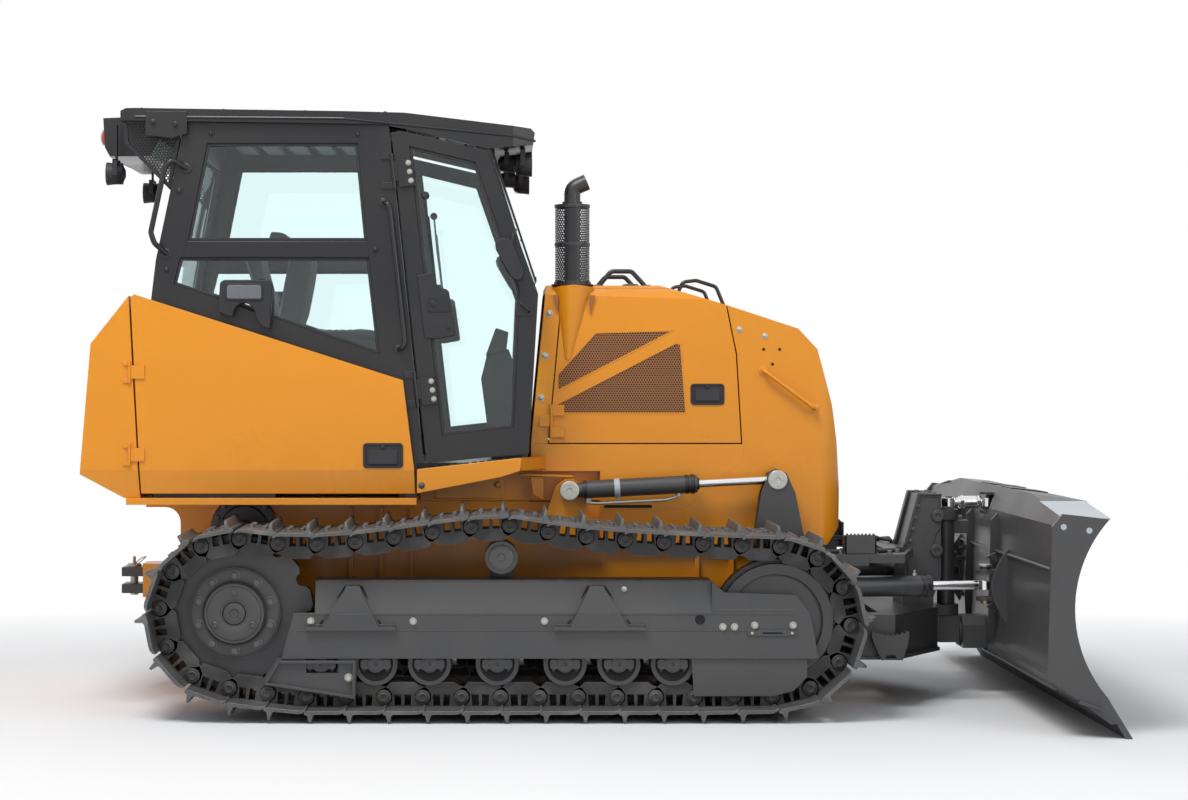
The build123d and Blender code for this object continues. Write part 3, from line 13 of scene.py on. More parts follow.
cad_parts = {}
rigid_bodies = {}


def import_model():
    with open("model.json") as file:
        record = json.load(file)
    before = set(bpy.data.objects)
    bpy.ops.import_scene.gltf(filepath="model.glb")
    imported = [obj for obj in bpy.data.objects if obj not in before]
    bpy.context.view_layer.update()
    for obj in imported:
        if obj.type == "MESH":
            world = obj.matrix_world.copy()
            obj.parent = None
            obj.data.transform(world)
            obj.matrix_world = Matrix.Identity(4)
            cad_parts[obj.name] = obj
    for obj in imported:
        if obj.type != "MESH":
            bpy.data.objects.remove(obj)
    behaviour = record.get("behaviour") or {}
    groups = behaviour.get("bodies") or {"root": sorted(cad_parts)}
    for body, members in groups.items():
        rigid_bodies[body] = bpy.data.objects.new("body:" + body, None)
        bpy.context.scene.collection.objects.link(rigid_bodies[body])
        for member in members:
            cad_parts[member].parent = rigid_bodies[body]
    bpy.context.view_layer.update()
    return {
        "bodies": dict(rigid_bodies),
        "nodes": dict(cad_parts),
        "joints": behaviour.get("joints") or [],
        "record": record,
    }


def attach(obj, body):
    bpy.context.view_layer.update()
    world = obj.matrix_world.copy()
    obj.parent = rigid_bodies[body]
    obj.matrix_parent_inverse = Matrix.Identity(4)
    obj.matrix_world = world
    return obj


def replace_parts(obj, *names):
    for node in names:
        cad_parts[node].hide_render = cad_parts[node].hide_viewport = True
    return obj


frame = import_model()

LOG = logging.getLogger("dozer")
MID_TRACK = 0.376          # the frame's origin lies this far ahead of the middle of the tracks
SIDES = {"r": -1, "l": 1}
UP = Vector((0, 0, 1))
Pair = tuple[float, float]
Flat = Sequence[Pair]
Spot = tuple[float, float, float]


class Axis(Enum):
    """Direction that a plate, drum or bolt is drawn along."""

    X = 0
    Y = 1
    Z = 2

    def put(self, u: float, v: float, along: float) -> Vector:
        """Point from its place in the section and its place along the axis."""
        if self is Axis.X:
            return Vector((along, u, v))
        if self is Axis.Y:
            return Vector((u, along, v))
        return Vector((u, v, along))


# ---- finishes ----
class Graph:
    """Node tree of one material, written as short calls."""

    def __init__(self, name: str) -> None:
        """Start an empty material with its shader and output."""
        self.material = bpy.data.materials.new(name)
        self.material.use_nodes = True
        self.nodes = self.material.node_tree.nodes
        self.links = self.material.node_tree.links
        self.nodes.clear()
        self.shader = self.nodes.new("ShaderNodeBsdfPrincipled")
        output = self.nodes.new("ShaderNodeOutputMaterial")
        self.links.new(self.shader.outputs[0], output.inputs[0])

    def set(self, **values: object) -> None:
        """Set the shader's own sockets, named with underscores for spaces."""
        for name, value in values.items():
            self.shader.inputs[name.replace("_", " ")].default_value = value

    def noise(self, scale: float, detail: float = 3.0, stretch: Spot = (1, 1, 1)) -> object:
        """Noise over the object's own coordinates.

        Args:
            scale: Features per metre.
            detail: Octaves.
            stretch: Factor on each axis, for brushed or dripping patterns.

        Returns:
            The noise's factor socket.
        """
        place = self.nodes.new("ShaderNodeTexCoord")
        mapping = self.nodes.new("ShaderNodeMapping")
        mapping.inputs["Scale"].default_value = stretch
        texture = self.nodes.new("ShaderNodeTexNoise")
        texture.inputs["Scale"].default_value = scale
        texture.inputs["Detail"].default_value = detail
        self.links.new(place.outputs["Object"], mapping.inputs["Vector"])
        self.links.new(mapping.outputs[0], texture.inputs["Vector"])
        return texture.outputs["Fac"]

    def span(self, source: object, low: float, high: float, start: float, end: float) -> object:
        """Carry a factor from one span of values to another, held at its ends."""
        node = self.nodes.new("ShaderNodeMapRange")
        node.clamp = True
        self.links.new(source, node.inputs["Value"])
        for name, value in (("From Min", low), ("From Max", high), ("To Min", start), ("To Max",
                end)):
            node.inputs[name].default_value = value
        return node.outputs["Result"]

    def math(self, kind: str, a: object, b: object) -> object:
        """One sum on two factors or numbers."""
        node = self.nodes.new("ShaderNodeMath")
        node.operation = kind
        for socket, value in zip(node.inputs, (a, b)):
            if isinstance(value, (int, float)):
                socket.default_value = value
            else:
                self.links.new(value, socket)
        return node.outputs[0]

    def mix(self, factor: object, a: object, b: object) -> object:
        """Blend two colours, each a socket or red, green and blue."""
        node = self.nodes.new("ShaderNodeMix")
        node.data_type = "RGBA"
        self.links.new(factor, node.inputs["Factor"])
        for socket, value in ((node.inputs[6], a), (node.inputs[7], b)):
            if isinstance(value, tuple):
                socket.default_value = (*value, 1.0)
            else:
                self.links.new(value, socket)
        return node.outputs[2]

    def rounded(self, radius: float) -> tuple[object, object]:
        """Soften edges in the shading.

        Args:
            radius: Rounding in metres.

        Returns:
            The rounded normal, and a factor that is high on edges.
        """
        bevel = self.nodes.new("ShaderNodeBevel")
        bevel.samples = 4
        bevel.inputs["Radius"].default_value = radius
        flat = self.nodes.new("ShaderNodeNewGeometry")
        dot = self.nodes.new("ShaderNodeVectorMath")
        dot.operation = "DOT_PRODUCT"
        self.links.new(bevel.outputs[0], dot.inputs[0])
        self.links.new(flat.outputs["Normal"], dot.inputs[1])
        return bevel.outputs[0], self.span(dot.outputs["Value"], 0.99, 0.88, 0.0, 1.0)

    def height(self, source: object, depth: float, normal: object = None) -> object:
        """Turn a factor into small relief over the surface."""
        bump = self.nodes.new("ShaderNodeBump")
        bump.inputs["Strength"].default_value = 1.0
        bump.inputs["Distance"].default_value = depth
        self.links.new(source, bump.inputs["Height"])
        if normal is not None:
            self.links.new(normal, bump.inputs["Normal"])
        return bump.outputs[0]

    def join(self, source: object, socket: str) -> None:
        """Link a factor, colour or normal to the shader."""
        self.links.new(source, self.shader.inputs[socket])


def key(finish: "Finish") -> str:
    """Name of a finish's material: its own, or that of its slot."""
    return finish.name or finish.slot


@dataclass(frozen=True)
class Paint:
    """Sprayed coat over steel, with fine orange peel, faint dust, and edges lighter in patches,
    partly worn and partly a painted highlight.
    """

    slot: str
    colour: Spot
    roughness: float = 0.34
    coat: float = 0.25
    dust: float = 0.12
    dust_colour: Spot = (0.42, 0.37, 0.3)
    edge: float = 0.25
    edge_wear_and_highlight_colour: Spot = (0.3, 0.29, 0.28)
    rounding: float = 0.003
    peel: float = 0.00006
    name: str = ""

    def material(self) -> bpy.types.Material:
        """Build the coat."""
        g = Graph(key(self))
        g.set(Coat_Weight=self.coat, Coat_Roughness=0.12, IOR=1.5)
        normal, edges = g.rounded(self.rounding)
        broad = g.noise(2.3, 4.0)
        fine = g.noise(260.0, 2.0)
        cloud = g.span(broad, 0.35, 0.72, 0.0, self.dust)
        shade = g.mix(g.span(g.noise(9.0, 5.0), 0.3, 0.7, 0.0, 0.1), self.colour,
            tuple(c * 0.72 for c in self.colour))
        dusty = g.mix(cloud, shade, self.dust_colour)
        # Lighter colour on the edges, in patches: partly chipped paint, partly a painted highlight
        # along the edges.
        worn_and_highlit_edges = g.math("MULTIPLY", edges, g.span(g.noise(38.0, 4.0), 0.42, 0.62, 0.0, self.edge))
        g.join(g.mix(worn_and_highlit_edges, dusty, self.edge_wear_and_highlight_colour), "Base Color")
        g.join(g.math("ADD", g.span(broad, 0.3, 0.75, self.roughness - 0.05, self.roughness + 0.1),
            g.math("MULTIPLY", cloud, 0.8)), "Roughness")
        g.join(g.height(fine, self.peel, normal), "Normal")
        return g.material


@dataclass(frozen=True)
class WornSteel:
    """Bare or thinly painted steel that runs in soil: scuffed bright, dark in its pits."""

    slot: str
    colour: Spot
    bright: Spot = (0.36, 0.35, 0.34)
    metal: float = 0.75
    roughness: float = 0.46
    scuff: float = 0.6
    name: str = ""

    def material(self) -> bpy.types.Material:
        """Build the steel."""
        g = Graph(key(self))
        g.set(Metallic=self.metal)
        normal, edges = g.rounded(0.004)
        pits = g.noise(70.0, 6.0)
        broad = g.noise(6.0, 5.0)
        worn = g.math("MAXIMUM", g.math("MULTIPLY", edges, self.scuff), g.span(broad, 0.52, 0.72,
            0.0, self.scuff * 0.6))
        base = g.mix(g.span(pits, 0.35, 0.65, 0.0, 0.6), self.colour,
            tuple(c * 0.55 for c in self.colour))
        g.join(g.mix(worn, base, self.bright), "Base Color")
        g.join(g.span(pits, 0.3, 0.7, self.roughness + 0.16, self.roughness - 0.08), "Roughness")
        g.join(g.height(pits, 0.0004, normal), "Normal")
        return g.material


@dataclass(frozen=True)
class BrightMetal:
    """Plated or ground metal with very fine turning marks."""

    slot: str
    colour: Spot
    roughness: float = 0.12
    metal: float = 1.0
    name: str = ""

    def material(self) -> bpy.types.Material:
        """Build the metal."""
        g = Graph(key(self))
        g.set(Metallic=self.metal)
        normal, _ = g.rounded(0.0015)
        marks = g.noise(120.0, 3.0, (0.15, 1.0, 1.0))
        g.join(g.mix(g.span(g.noise(14.0, 4.0), 0.3, 0.7, 0.0, 0.25), self.colour,
            tuple(c * 0.7 for c in self.colour)), "Base Color")
        g.join(g.span(marks, 0.3, 0.7, self.roughness, self.roughness + 0.12), "Roughness")
        g.join(g.height(marks, 0.00002, normal), "Normal")
        return g.material


@dataclass(frozen=True)
class Moulded:
    """Moulded plastic or rubber with a leathery grain."""

    slot: str
    colour: Spot
    roughness: float = 0.5
    grain: float = 420.0
    depth: float = 0.00025
    coat: float = 0.0
    name: str = ""

    def material(self) -> bpy.types.Material:
        """Build the plastic."""
        g = Graph(key(self))
        g.set(Coat_Weight=self.coat, Coat_Roughness=0.05)
        normal, edges = g.rounded(0.002)
        cells = g.noise(self.grain, 2.0)
        g.join(g.mix(g.span(g.noise(7.0, 4.0), 0.35, 0.7, 0.0, 0.35), self.colour, tuple(min(1.0,
            c * 1.7 + 0.01) for c in self.colour)), "Base Color")
        g.join(g.math("SUBTRACT", g.span(cells, 0.3, 0.7, self.roughness, self.roughness + 0.15),
            g.math("MULTIPLY", edges, 0.1)), "Roughness")
        g.join(g.height(cells, self.depth, normal), "Normal")
        return g.material


@dataclass(frozen=True)
class Woven:
    """Upholstery cloth with a plain weave and a soft sheen."""

    slot: str
    colour: Spot
    threads: float = 620.0
    name: str = ""

    def material(self) -> bpy.types.Material:
        """Build the cloth."""
        g = Graph(key(self))
        g.set(Sheen_Weight=0.4, Sheen_Roughness=0.5, Roughness=0.92)
        place = g.nodes.new("ShaderNodeTexCoord")
        waves = []
        for direction in ("Y", "Z"):
            wave = g.nodes.new("ShaderNodeTexWave")
            wave.bands_direction = direction
            wave.inputs["Scale"].default_value = self.threads
            wave.inputs["Distortion"].default_value = 0.6
            g.links.new(place.outputs["Object"], wave.inputs["Vector"])
            waves.append(wave.outputs["Fac"])
        weave = g.math("MULTIPLY", *waves)
        g.join(g.mix(weave, self.colour, tuple(min(1.0, c * 1.8) for c in self.colour)),
            "Base Color")
        g.join(g.height(weave, 0.0004), "Normal")
        return g.material


@dataclass(frozen=True)
class Glazing:
    """Tinted pane, clear enough to see the seat and the sky through."""

    slot: str
    tint: Spot = (0.885, 1.0, 1.0)
    name: str = ""

    def material(self) -> bpy.types.Material:
        """Build the pane."""
        g = Graph(key(self))
        g.set(Base_Color=(*self.tint, 1.0), Roughness=0.02, IOR=1.45, Transmission_Weight=1.0,
            Specular_IOR_Level=0.5)
        smear = g.noise(5.0, 5.0)
        g.join(g.height(smear, 0.00015), "Normal")
        clear = g.nodes.new("ShaderNodeBsdfTransparent")
        clear.inputs["Color"].default_value = (*self.tint, 1.0)
        blend = g.nodes.new("ShaderNodeMixShader")
        path = g.nodes.new("ShaderNodeLightPath")
        g.links.new(path.outputs["Is Shadow Ray"], blend.inputs["Fac"])
        g.links.new(g.shader.outputs[0], blend.inputs[1])
        g.links.new(clear.outputs[0], blend.inputs[2])
        output = next(n for n in g.nodes if n.type == "OUTPUT_MATERIAL")
        g.links.new(blend.outputs[0], output.inputs[0])
        return g.material


ORANGE = Paint("orange_paint", (0.8, 0.285, 0.005), edge_wear_and_highlight_colour=(0.62, 0.28, 0.06), dust=0.04,
    dust_colour=(0.62, 0.33, 0.08), roughness=0.3, coat=0.15)
# The grilles' orange paint darkened to brown: painted shade on the mesh and on the bulge's vent
# plates.
SHADED_GRILLE = Paint("orange_paint", (0.34, 0.135, 0.04), edge_wear_and_highlight_colour=(0.4, 0.2, 0.09), dust=0.1,
    dust_colour=(0.3, 0.2, 0.12), roughness=0.45, coat=0.0, name="grille_paint_shaded")
CHARCOAL = Paint("dark_paint", (0.045, 0.046, 0.049), roughness=0.42, dust=0.04, coat=0.1)
BLACK = Paint("black_paint", (0.006, 0.0065, 0.009), roughness=0.34, dust=0.02, edge=0.1, coat=0.1)
RUNNING = Paint("undercarriage", (0.052, 0.053, 0.056), roughness=0.44, dust=0.06, edge=0.35,
    coat=0.1)
SHOE_STEEL = WornSteel("track_steel", (0.12, 0.12, 0.122), metal=0.3, bright=(0.3, 0.3, 0.3))
# Darker copy of the track steel for the links: painted shade, as on the shaded links of the upper
# run.
SHADED_LINK_STEEL = WornSteel("track_steel", (0.05, 0.048, 0.046), metal=0.35, bright=(0.2, 0.2, 0.2),
    name="link_steel_shaded")
EDGE_STEEL = WornSteel("edge_steel", (0.085, 0.085, 0.088), metal=0.35, bright=(0.25, 0.25, 0.25))
CHROME = BrightMetal("chrome", (0.8, 0.8, 0.82))
STACK_BLACK = Paint("exhaust_steel", (0.016, 0.016, 0.019), roughness=0.45, dust=0.03)
ENGINE_GREY = Paint("engine_grey", (0.1, 0.1, 0.105), roughness=0.6, dust=0.25)
PLASTIC = Moulded("black_plastic", (0.012, 0.012, 0.015))
SEAT_CLOTH = Woven("seat_cloth", (0.03, 0.031, 0.034))
GLASS = Glazing("glass")
BOLT = Paint("dark_paint", (0.07, 0.071, 0.074), roughness=0.4, edge=0.5, name="bolt_grey")
ZINC = BrightMetal("chrome", (0.5, 0.5, 0.46), roughness=0.34, metal=0.6, name="zinc")
BRASS = BrightMetal("chrome", (0.62, 0.45, 0.2), roughness=0.3, name="brass")
# Pale copy of the dark paint: a painted highlight for the sky's reflection on the blade's top
# plates, and painted light in the end plate's holes. Also used on the lift clamps.
PALE_AND_HIGHLIGHT = Paint("dark_paint", (0.44, 0.49, 0.53), roughness=0.36, dust=0.05, name="pale_paint_and_highlight")
# Near-black: painted shade behind the grilles and louvres, in the stack's bore and in the roller
# wells. Elsewhere it is dark seams, slits and plugs.
SHADE_AND_JOINT_BLACK = Moulded("black_plastic", (0.006, 0.006, 0.007), roughness=0.8, name="shade_and_joint_black")
RUBBER = Moulded("black_plastic", (0.018, 0.018, 0.019), roughness=0.62, name="rubber")
LENS = Moulded("black_plastic", (0.1, 0.11, 0.12), roughness=0.12, depth=0.00005, coat=0.8,
    name="lens")
RED = Moulded("black_plastic", (0.45, 0.01, 0.008), roughness=0.15, depth=0.00005, coat=0.8,
    name="red_lens")
Finish = Paint | WornSteel | BrightMetal | Moulded | Woven | Glazing
FINISHES: tuple[Finish, ...] = (ORANGE, CHARCOAL, BLACK, RUNNING, SHOE_STEEL, EDGE_STEEL, CHROME,
    SHADED_GRILLE, SHADED_LINK_STEEL, STACK_BLACK, ENGINE_GREY, PLASTIC, SEAT_CLOTH, GLASS, BOLT, ZINC, BRASS,
    PALE_AND_HIGHLIGHT, SHADE_AND_JOINT_BLACK, RUBBER, LENS, RED)


# ---- mesh kit ----
class Form:
    """Mesh under construction, drawn in metres from the middle of the tracks on the ground."""

    def __init__(self) -> None:
        """Start with no geometry."""
        self.bm = bmesh.new()

    def prism(self, outline: Flat, axis: Axis, start: float, end: float) -> "Form":
        """Add a plate with a flat outline.

        Args:
            outline: Corners in the plane across the axis.
            axis: Direction of the plate's thickness.
            start: First face along the axis.
            end: Second face.

        Returns:
            The form, so that calls can be chained.
        """
        near = [self.bm.verts.new(axis.put(u, v, start)) for u, v in outline]
        far = [self.bm.verts.new(axis.put(u, v, end)) for u, v in outline]
        self.bm.faces.new(near)
        self.bm.faces.new(far)
        for i in range(len(outline)):
            j = (i + 1) % len(outline)
            self.bm.faces.new((near[i], near[j], far[j], far[i]))
        return self

    def plate(self, outline: Flat, start: float, end: float) -> "Form":
        """Add a plate drawn from the side, between two places across the machine."""
        return self.prism(outline, Axis.Y, start, end)

    def block(self, low: Spot, high: Spot) -> "Form":
        """Add a block between two corners."""
        outline = [(low[0], low[1]), (high[0], low[1]), (high[0], high[1]), (low[0], high[1])]
        return self.prism(outline, Axis.Z, low[2], high[2])

    def lathe(self, profile: Flat, at: Spot, axis: Axis | Vector, segments: int = 28,
            hollow: bool = False) -> "Form":
        """Add a turned body.

        Args:
            profile: Places along the axis with their radii, from one end to the other.
            at: Where the axis starts.
            axis: Direction of the axis.
            segments: Faces round the body.
            hollow: Whether the profile is a closed loop away from the axis.

        Returns:
            The form.
        """
        way = axis.put(0, 0, 1) if isinstance(axis, Axis) else axis.normalized()
        side = way.orthogonal().normalized()
        other = way.cross(side)
        rings = []
        for along, radius in profile:
            centre = Vector(at) + way * along
            if radius < 1e-6:
                rings.append([self.bm.verts.new(centre)])
                continue
            angles = [2 * pi * i / segments for i in range(segments)]
            rings.append([self.bm.verts.new(centre + side * (radius * cos(a)) + other * (radius
                * sin(a))) for a in angles])
        for one, two in zip(rings, rings[1:]):
            self._bridge(one, two)
        if hollow:
            self._bridge(rings[-1], rings[0])
            return self
        for ring in (rings[0], rings[-1]):
            if len(ring) > 2:
                self.bm.faces.new(ring)
        return self

    def ring(self, at: Spot, axis: Vector, length: float, inner: float, outer: float,
            segments: int) -> "Form":
        """Add a plain ring from a place along an axis."""
        return self.lathe([(0, inner), (0, outer), (length, outer), (length, inner)], at, axis,
            segments, hollow=True)

    def _bridge(self, one: list, two: list) -> None:
        """Join two rings, either of which may be a single point."""
        count = max(len(one), len(two))
        for i in range(count):
            j = (i + 1) % count
            corners = [one[i % len(one)], one[j % len(one)], two[j % len(two)], two[i % len(two)]]
            unique = list(dict.fromkeys(corners))
            if len(unique) > 2:
                self.bm.faces.new(unique)

    def loft(self, rings: Sequence[Sequence[Spot]], closed: bool = True,
            caps: bool = True) -> "Form":
        """Add a skin over rings with the same number of points.

        Args:
            rings: The rings, from one end to the other.
            closed: Whether each ring is a loop.
            caps: Whether the first and last ring are filled.

        Returns:
            The form.
        """
        made = [[self.bm.verts.new(p) for p in ring] for ring in rings]
        for one, two in zip(made, made[1:]):
            count = len(one)
            for i in range(count if closed else count - 1):
                j = (i + 1) % count
                self.bm.faces.new((one[i], one[j], two[j], two[i]))
        if caps:
            self.bm.faces.new(made[0])
            self.bm.faces.new(made[-1])
        return self

    def band(self, outline: Flat, width: float, axis: Axis, start: float, end: float) -> "Form":
        """Add a frame of one width round the inside of an outline."""
        inner = drawn_in(outline, width)
        for i in range(len(outline)):
            j = (i + 1) % len(outline)
            self.prism([outline[i], outline[j], inner[j], inner[i]], axis, start, end)
        return self

    def pierced(self, outline: Flat, place: Callable[[float, float], Vector], pitch: float = 0.012,
            hole: float = 0.0042) -> "Form":
        """Add a perforated sheet.

        Args:
            outline: Region that the holes fill.
            place: Turns a flat place into a point on the sheet.
            pitch: Distance between holes.
            hole: Radius of a hole.

        Returns:
            The form.
        """
        us, vs = [u for u, _ in outline], [v for _, v in outline]
        half, rise = pitch / 2, pitch * 0.433
        edge = [(half, 0), (half, rise), (0, rise), (-half, rise), (-half, 0), (-half, -rise),
            (0, -rise), (half, -rise)]
        rows = int((max(vs) - min(vs)) / (2 * rise)) + 1
        for row in range(rows):
            v = min(vs) + rise * (2 * row + 1)
            u = min(us) + half * (1 + row % 2)
            while u < max(us):
                if inside(outline, u, v):
                    outer = [self.bm.verts.new(place(u + a, v + b)) for a, b in edge]
                    inner = [self.bm.verts.new(place(u + hole * cos(k * pi / 4),
                        v + hole * sin(k * pi / 4))) for k in range(8)]
                    for k in range(8):
                        self.bm.faces.new((outer[k], outer[k - 7], inner[k - 7], inner[k]))
                u += pitch
        return self

    def panel(self, outline: Flat, place: Callable[[float, float], Vector]) -> "Form":
        """Add one flat face whose corners are placed on a surface."""
        self.bm.faces.new([self.bm.verts.new(place(u, v)) for u, v in outline])
        return self

    def dome(self, at: Spot, axis: Vector, radius: float = 0.011) -> "Form":
        """Add a domed bolt head on a washer."""
        r = radius
        return self.lathe([(-0.003, 1.4 * r), (0.003, 1.4 * r), (0.0035, r), (0.4 * r, r),
            (0.75 * r, 0.8 * r), (0.95 * r, 0.45 * r), (r, 0)], at, axis, 16)

    def bolt(self, at: Spot, axis: Vector, across: float = 0.024, head: float = 0.012,
            washer: bool = True) -> "Form":
        """Add a hexagon head on its washer, standing on a face.

        Args:
            at: Middle of the face it stands on.
            axis: Out of that face.
            across: Width over the head's corners.
            head: Height of the head.
            washer: Whether a washer lies under it.

        Returns:
            The form.
        """
        base = 0.0
        if washer:
            self.lathe([(-0.002, across * 0.62), (0.003, across * 0.62)], at, axis, 16)
            base = 0.003
        r = across / 2
        self.lathe([(base - 0.003, r), (base + head * 0.8, r), (base + head, r * 0.86)], at, axis,
            6)
        return self

    def tube(self, points: Sequence[Spot], radius: float, bend: float = 0.03,
            segments: int = 12) -> "Form":
        """Add a round tube along straight runs with rounded corners.

        Args:
            points: Ends and corners of the runs.
            radius: Tube's radius.
            bend: Radius of the tube's bends.
            segments: Faces round the tube.

        Returns:
            The form.
        """
        line = rounded_path([Vector(p) for p in points], bend)
        side = (line[1] - line[0]).orthogonal().normalized()
        rings = []
        for i, point in enumerate(line):
            way = (line[min(i + 1, len(line) - 1)] - line[max(i - 1, 0)]).normalized()
            side = (side - way * side.dot(way)).normalized()
            other = way.cross(side)
            rings.append([self.bm.verts.new(point + side * (radius * cos(2 * pi * k / segments))
                + other * (radius * sin(2 * pi * k / segments))) for k in range(segments)])
        for one, two in zip(rings, rings[1:]):
            self._bridge(one, two)
        self.bm.faces.new(rings[0])
        self.bm.faces.new(rings[-1])
        return self

    def copies(self, source: "Form", places: Iterable[Matrix]) -> "Form":
        """Add a copy of another form at each place."""
        mesh = bpy.data.meshes.new("copy")
        source.bm.to_mesh(mesh)
        for place in places:
            start = len(self.bm.verts)
            self.bm.from_mesh(mesh)
            self.bm.verts.ensure_lookup_table()
            bmesh.ops.transform(self.bm, matrix=place, verts=self.bm.verts[start:])
        bpy.data.meshes.remove(mesh)
        return self

    def finish(self, name: str, finish: Finish, edge: float = 0.0, smooth: float = 35.0,
            body: str = "chassis") -> bpy.types.Object:
        """Make the piece and set it on its body.

        Args:
            name: Piece's name.
            finish: Its finish.
            edge: Width of the bevel on its edges, or 0.
            smooth: Angle in degrees above which an edge stays sharp.
            body: Body that it moves with.

        Returns:
            The new object.
        """
        bmesh.ops.translate(self.bm, vec=(-MID_TRACK, 0, 0), verts=self.bm.verts)
        bmesh.ops.recalc_face_normals(self.bm, faces=self.bm.faces)
        mesh = bpy.data.meshes.new(name)
        self.bm.to_mesh(mesh)
        self.bm.free()
        mesh.polygons.foreach_set("use_smooth", [True] * len(mesh.polygons))
        mesh.set_sharp_from_angle(angle=radians(smooth))
        piece = bpy.data.objects.new(name, mesh)
        bpy.context.scene.collection.objects.link(piece)
        if edge:
            bevel = piece.modifiers.new("edges", "BEVEL")
            bevel.width = edge
            bevel.segments = 2
            bevel.limit_method = "ANGLE"
            bevel.angle_limit = radians(35)
            bevel.harden_normals = True
        mesh.materials.append(STORE[key(finish)])
        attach(piece, body)
        LOG.info("%s: %d faces on %s", name, len(mesh.polygons), body)
        return piece


def inside(outline: Flat, u: float, v: float) -> bool:
    """Whether a place lies within an outline."""
    hit = False
    for (u0, v0), (u1, v1) in zip(outline, [*outline[1:], outline[0]]):
        if (v0 > v) != (v1 > v) and u < u0 + (v - v0) / (v1 - v0) * (u1 - u0):
            hit = not hit
    return hit


def drawn_in(outline: Flat, width: float) -> list[Pair]:
    """Outline moved inward by a width, or outward by a negative one."""
    area = sum(u0 * v1 - u1 * v0 for (u0, v0), (u1, v1) in zip(outline, [*outline[1:], outline[0]]))
    sign = 1 if area > 0 else -1
    moved = []
    for i, (u, v) in enumerate(outline):
        before, after = outline[i - 1], outline[(i + 1) % len(outline)]
        a = Vector((u - before[0], v - before[1])).normalized()
        b = Vector((after[0] - u, after[1] - v)).normalized()
        na, nb = Vector((-a.y, a.x)) * sign, Vector((-b.y, b.x)) * sign
        way = na + nb
        scale = width / max(way.dot(na), 0.2)
        moved.append((u + way.x * scale, v + way.y * scale))
    return moved


def rounded_box(u0: float, u1: float, v0: float, v1: float, r: float) -> list[Pair]:
    """Outline of a rectangle with rounded corners."""
    corners = ((u1 - r, v1 - r, 0), (u0 + r, v1 - r, 90), (u0 + r, v0 + r, 180), (u1 - r, v0 + r,
        270))
    return [(u + r * cos(radians(start + step)), v + r * sin(radians(start + step))) for u, v,
        start in corners for step in (0, 22.5, 45, 67.5, 90)]


def circle(count: int, radius: float, start: float = 0.0) -> list[Pair]:
    """Even places round a circle, the first at an angle in degrees."""
    turns = [radians(start + 360 * k / count) for k in range(count)]
    return [(radius * cos(a), radius * sin(a)) for a in turns]


def rounded_path(points: list[Vector], bend: float) -> list[Vector]:
    """Points along straight runs with an arc at each corner.

    Args:
        points: Ends and corners.
        bend: Radius of each arc, less where a run is short.

    Returns:
        The line's points.
    """
    line = [points[0]]
    for before, corner, after in zip(points, points[1:], points[2:]):
        a, b = (before - corner).normalized(), (after - corner).normalized()
        half = a.angle(b, pi) / 2
        if half > radians(88):
            line.append(corner)
            continue
        cut = min(bend / tan(half), 0.49 * (before - corner).length, 0.49 * (after - corner).length)
        start, end = corner + a * cut, corner + b * cut
        steps = 6
        for i in range(steps + 1):
            t = i / steps
            line.append(start * (1 - t) ** 2 + corner * (2 * t * (1 - t)) + end * t ** 2)
    line.append(points[-1])
    return line


STORE: dict[str, bpy.types.Material] = {}


def both(build: Callable[[str, int], None]) -> None:
    """Build one thing on the right and on the left."""
    for name, side in SIDES.items():
        build(name, side)


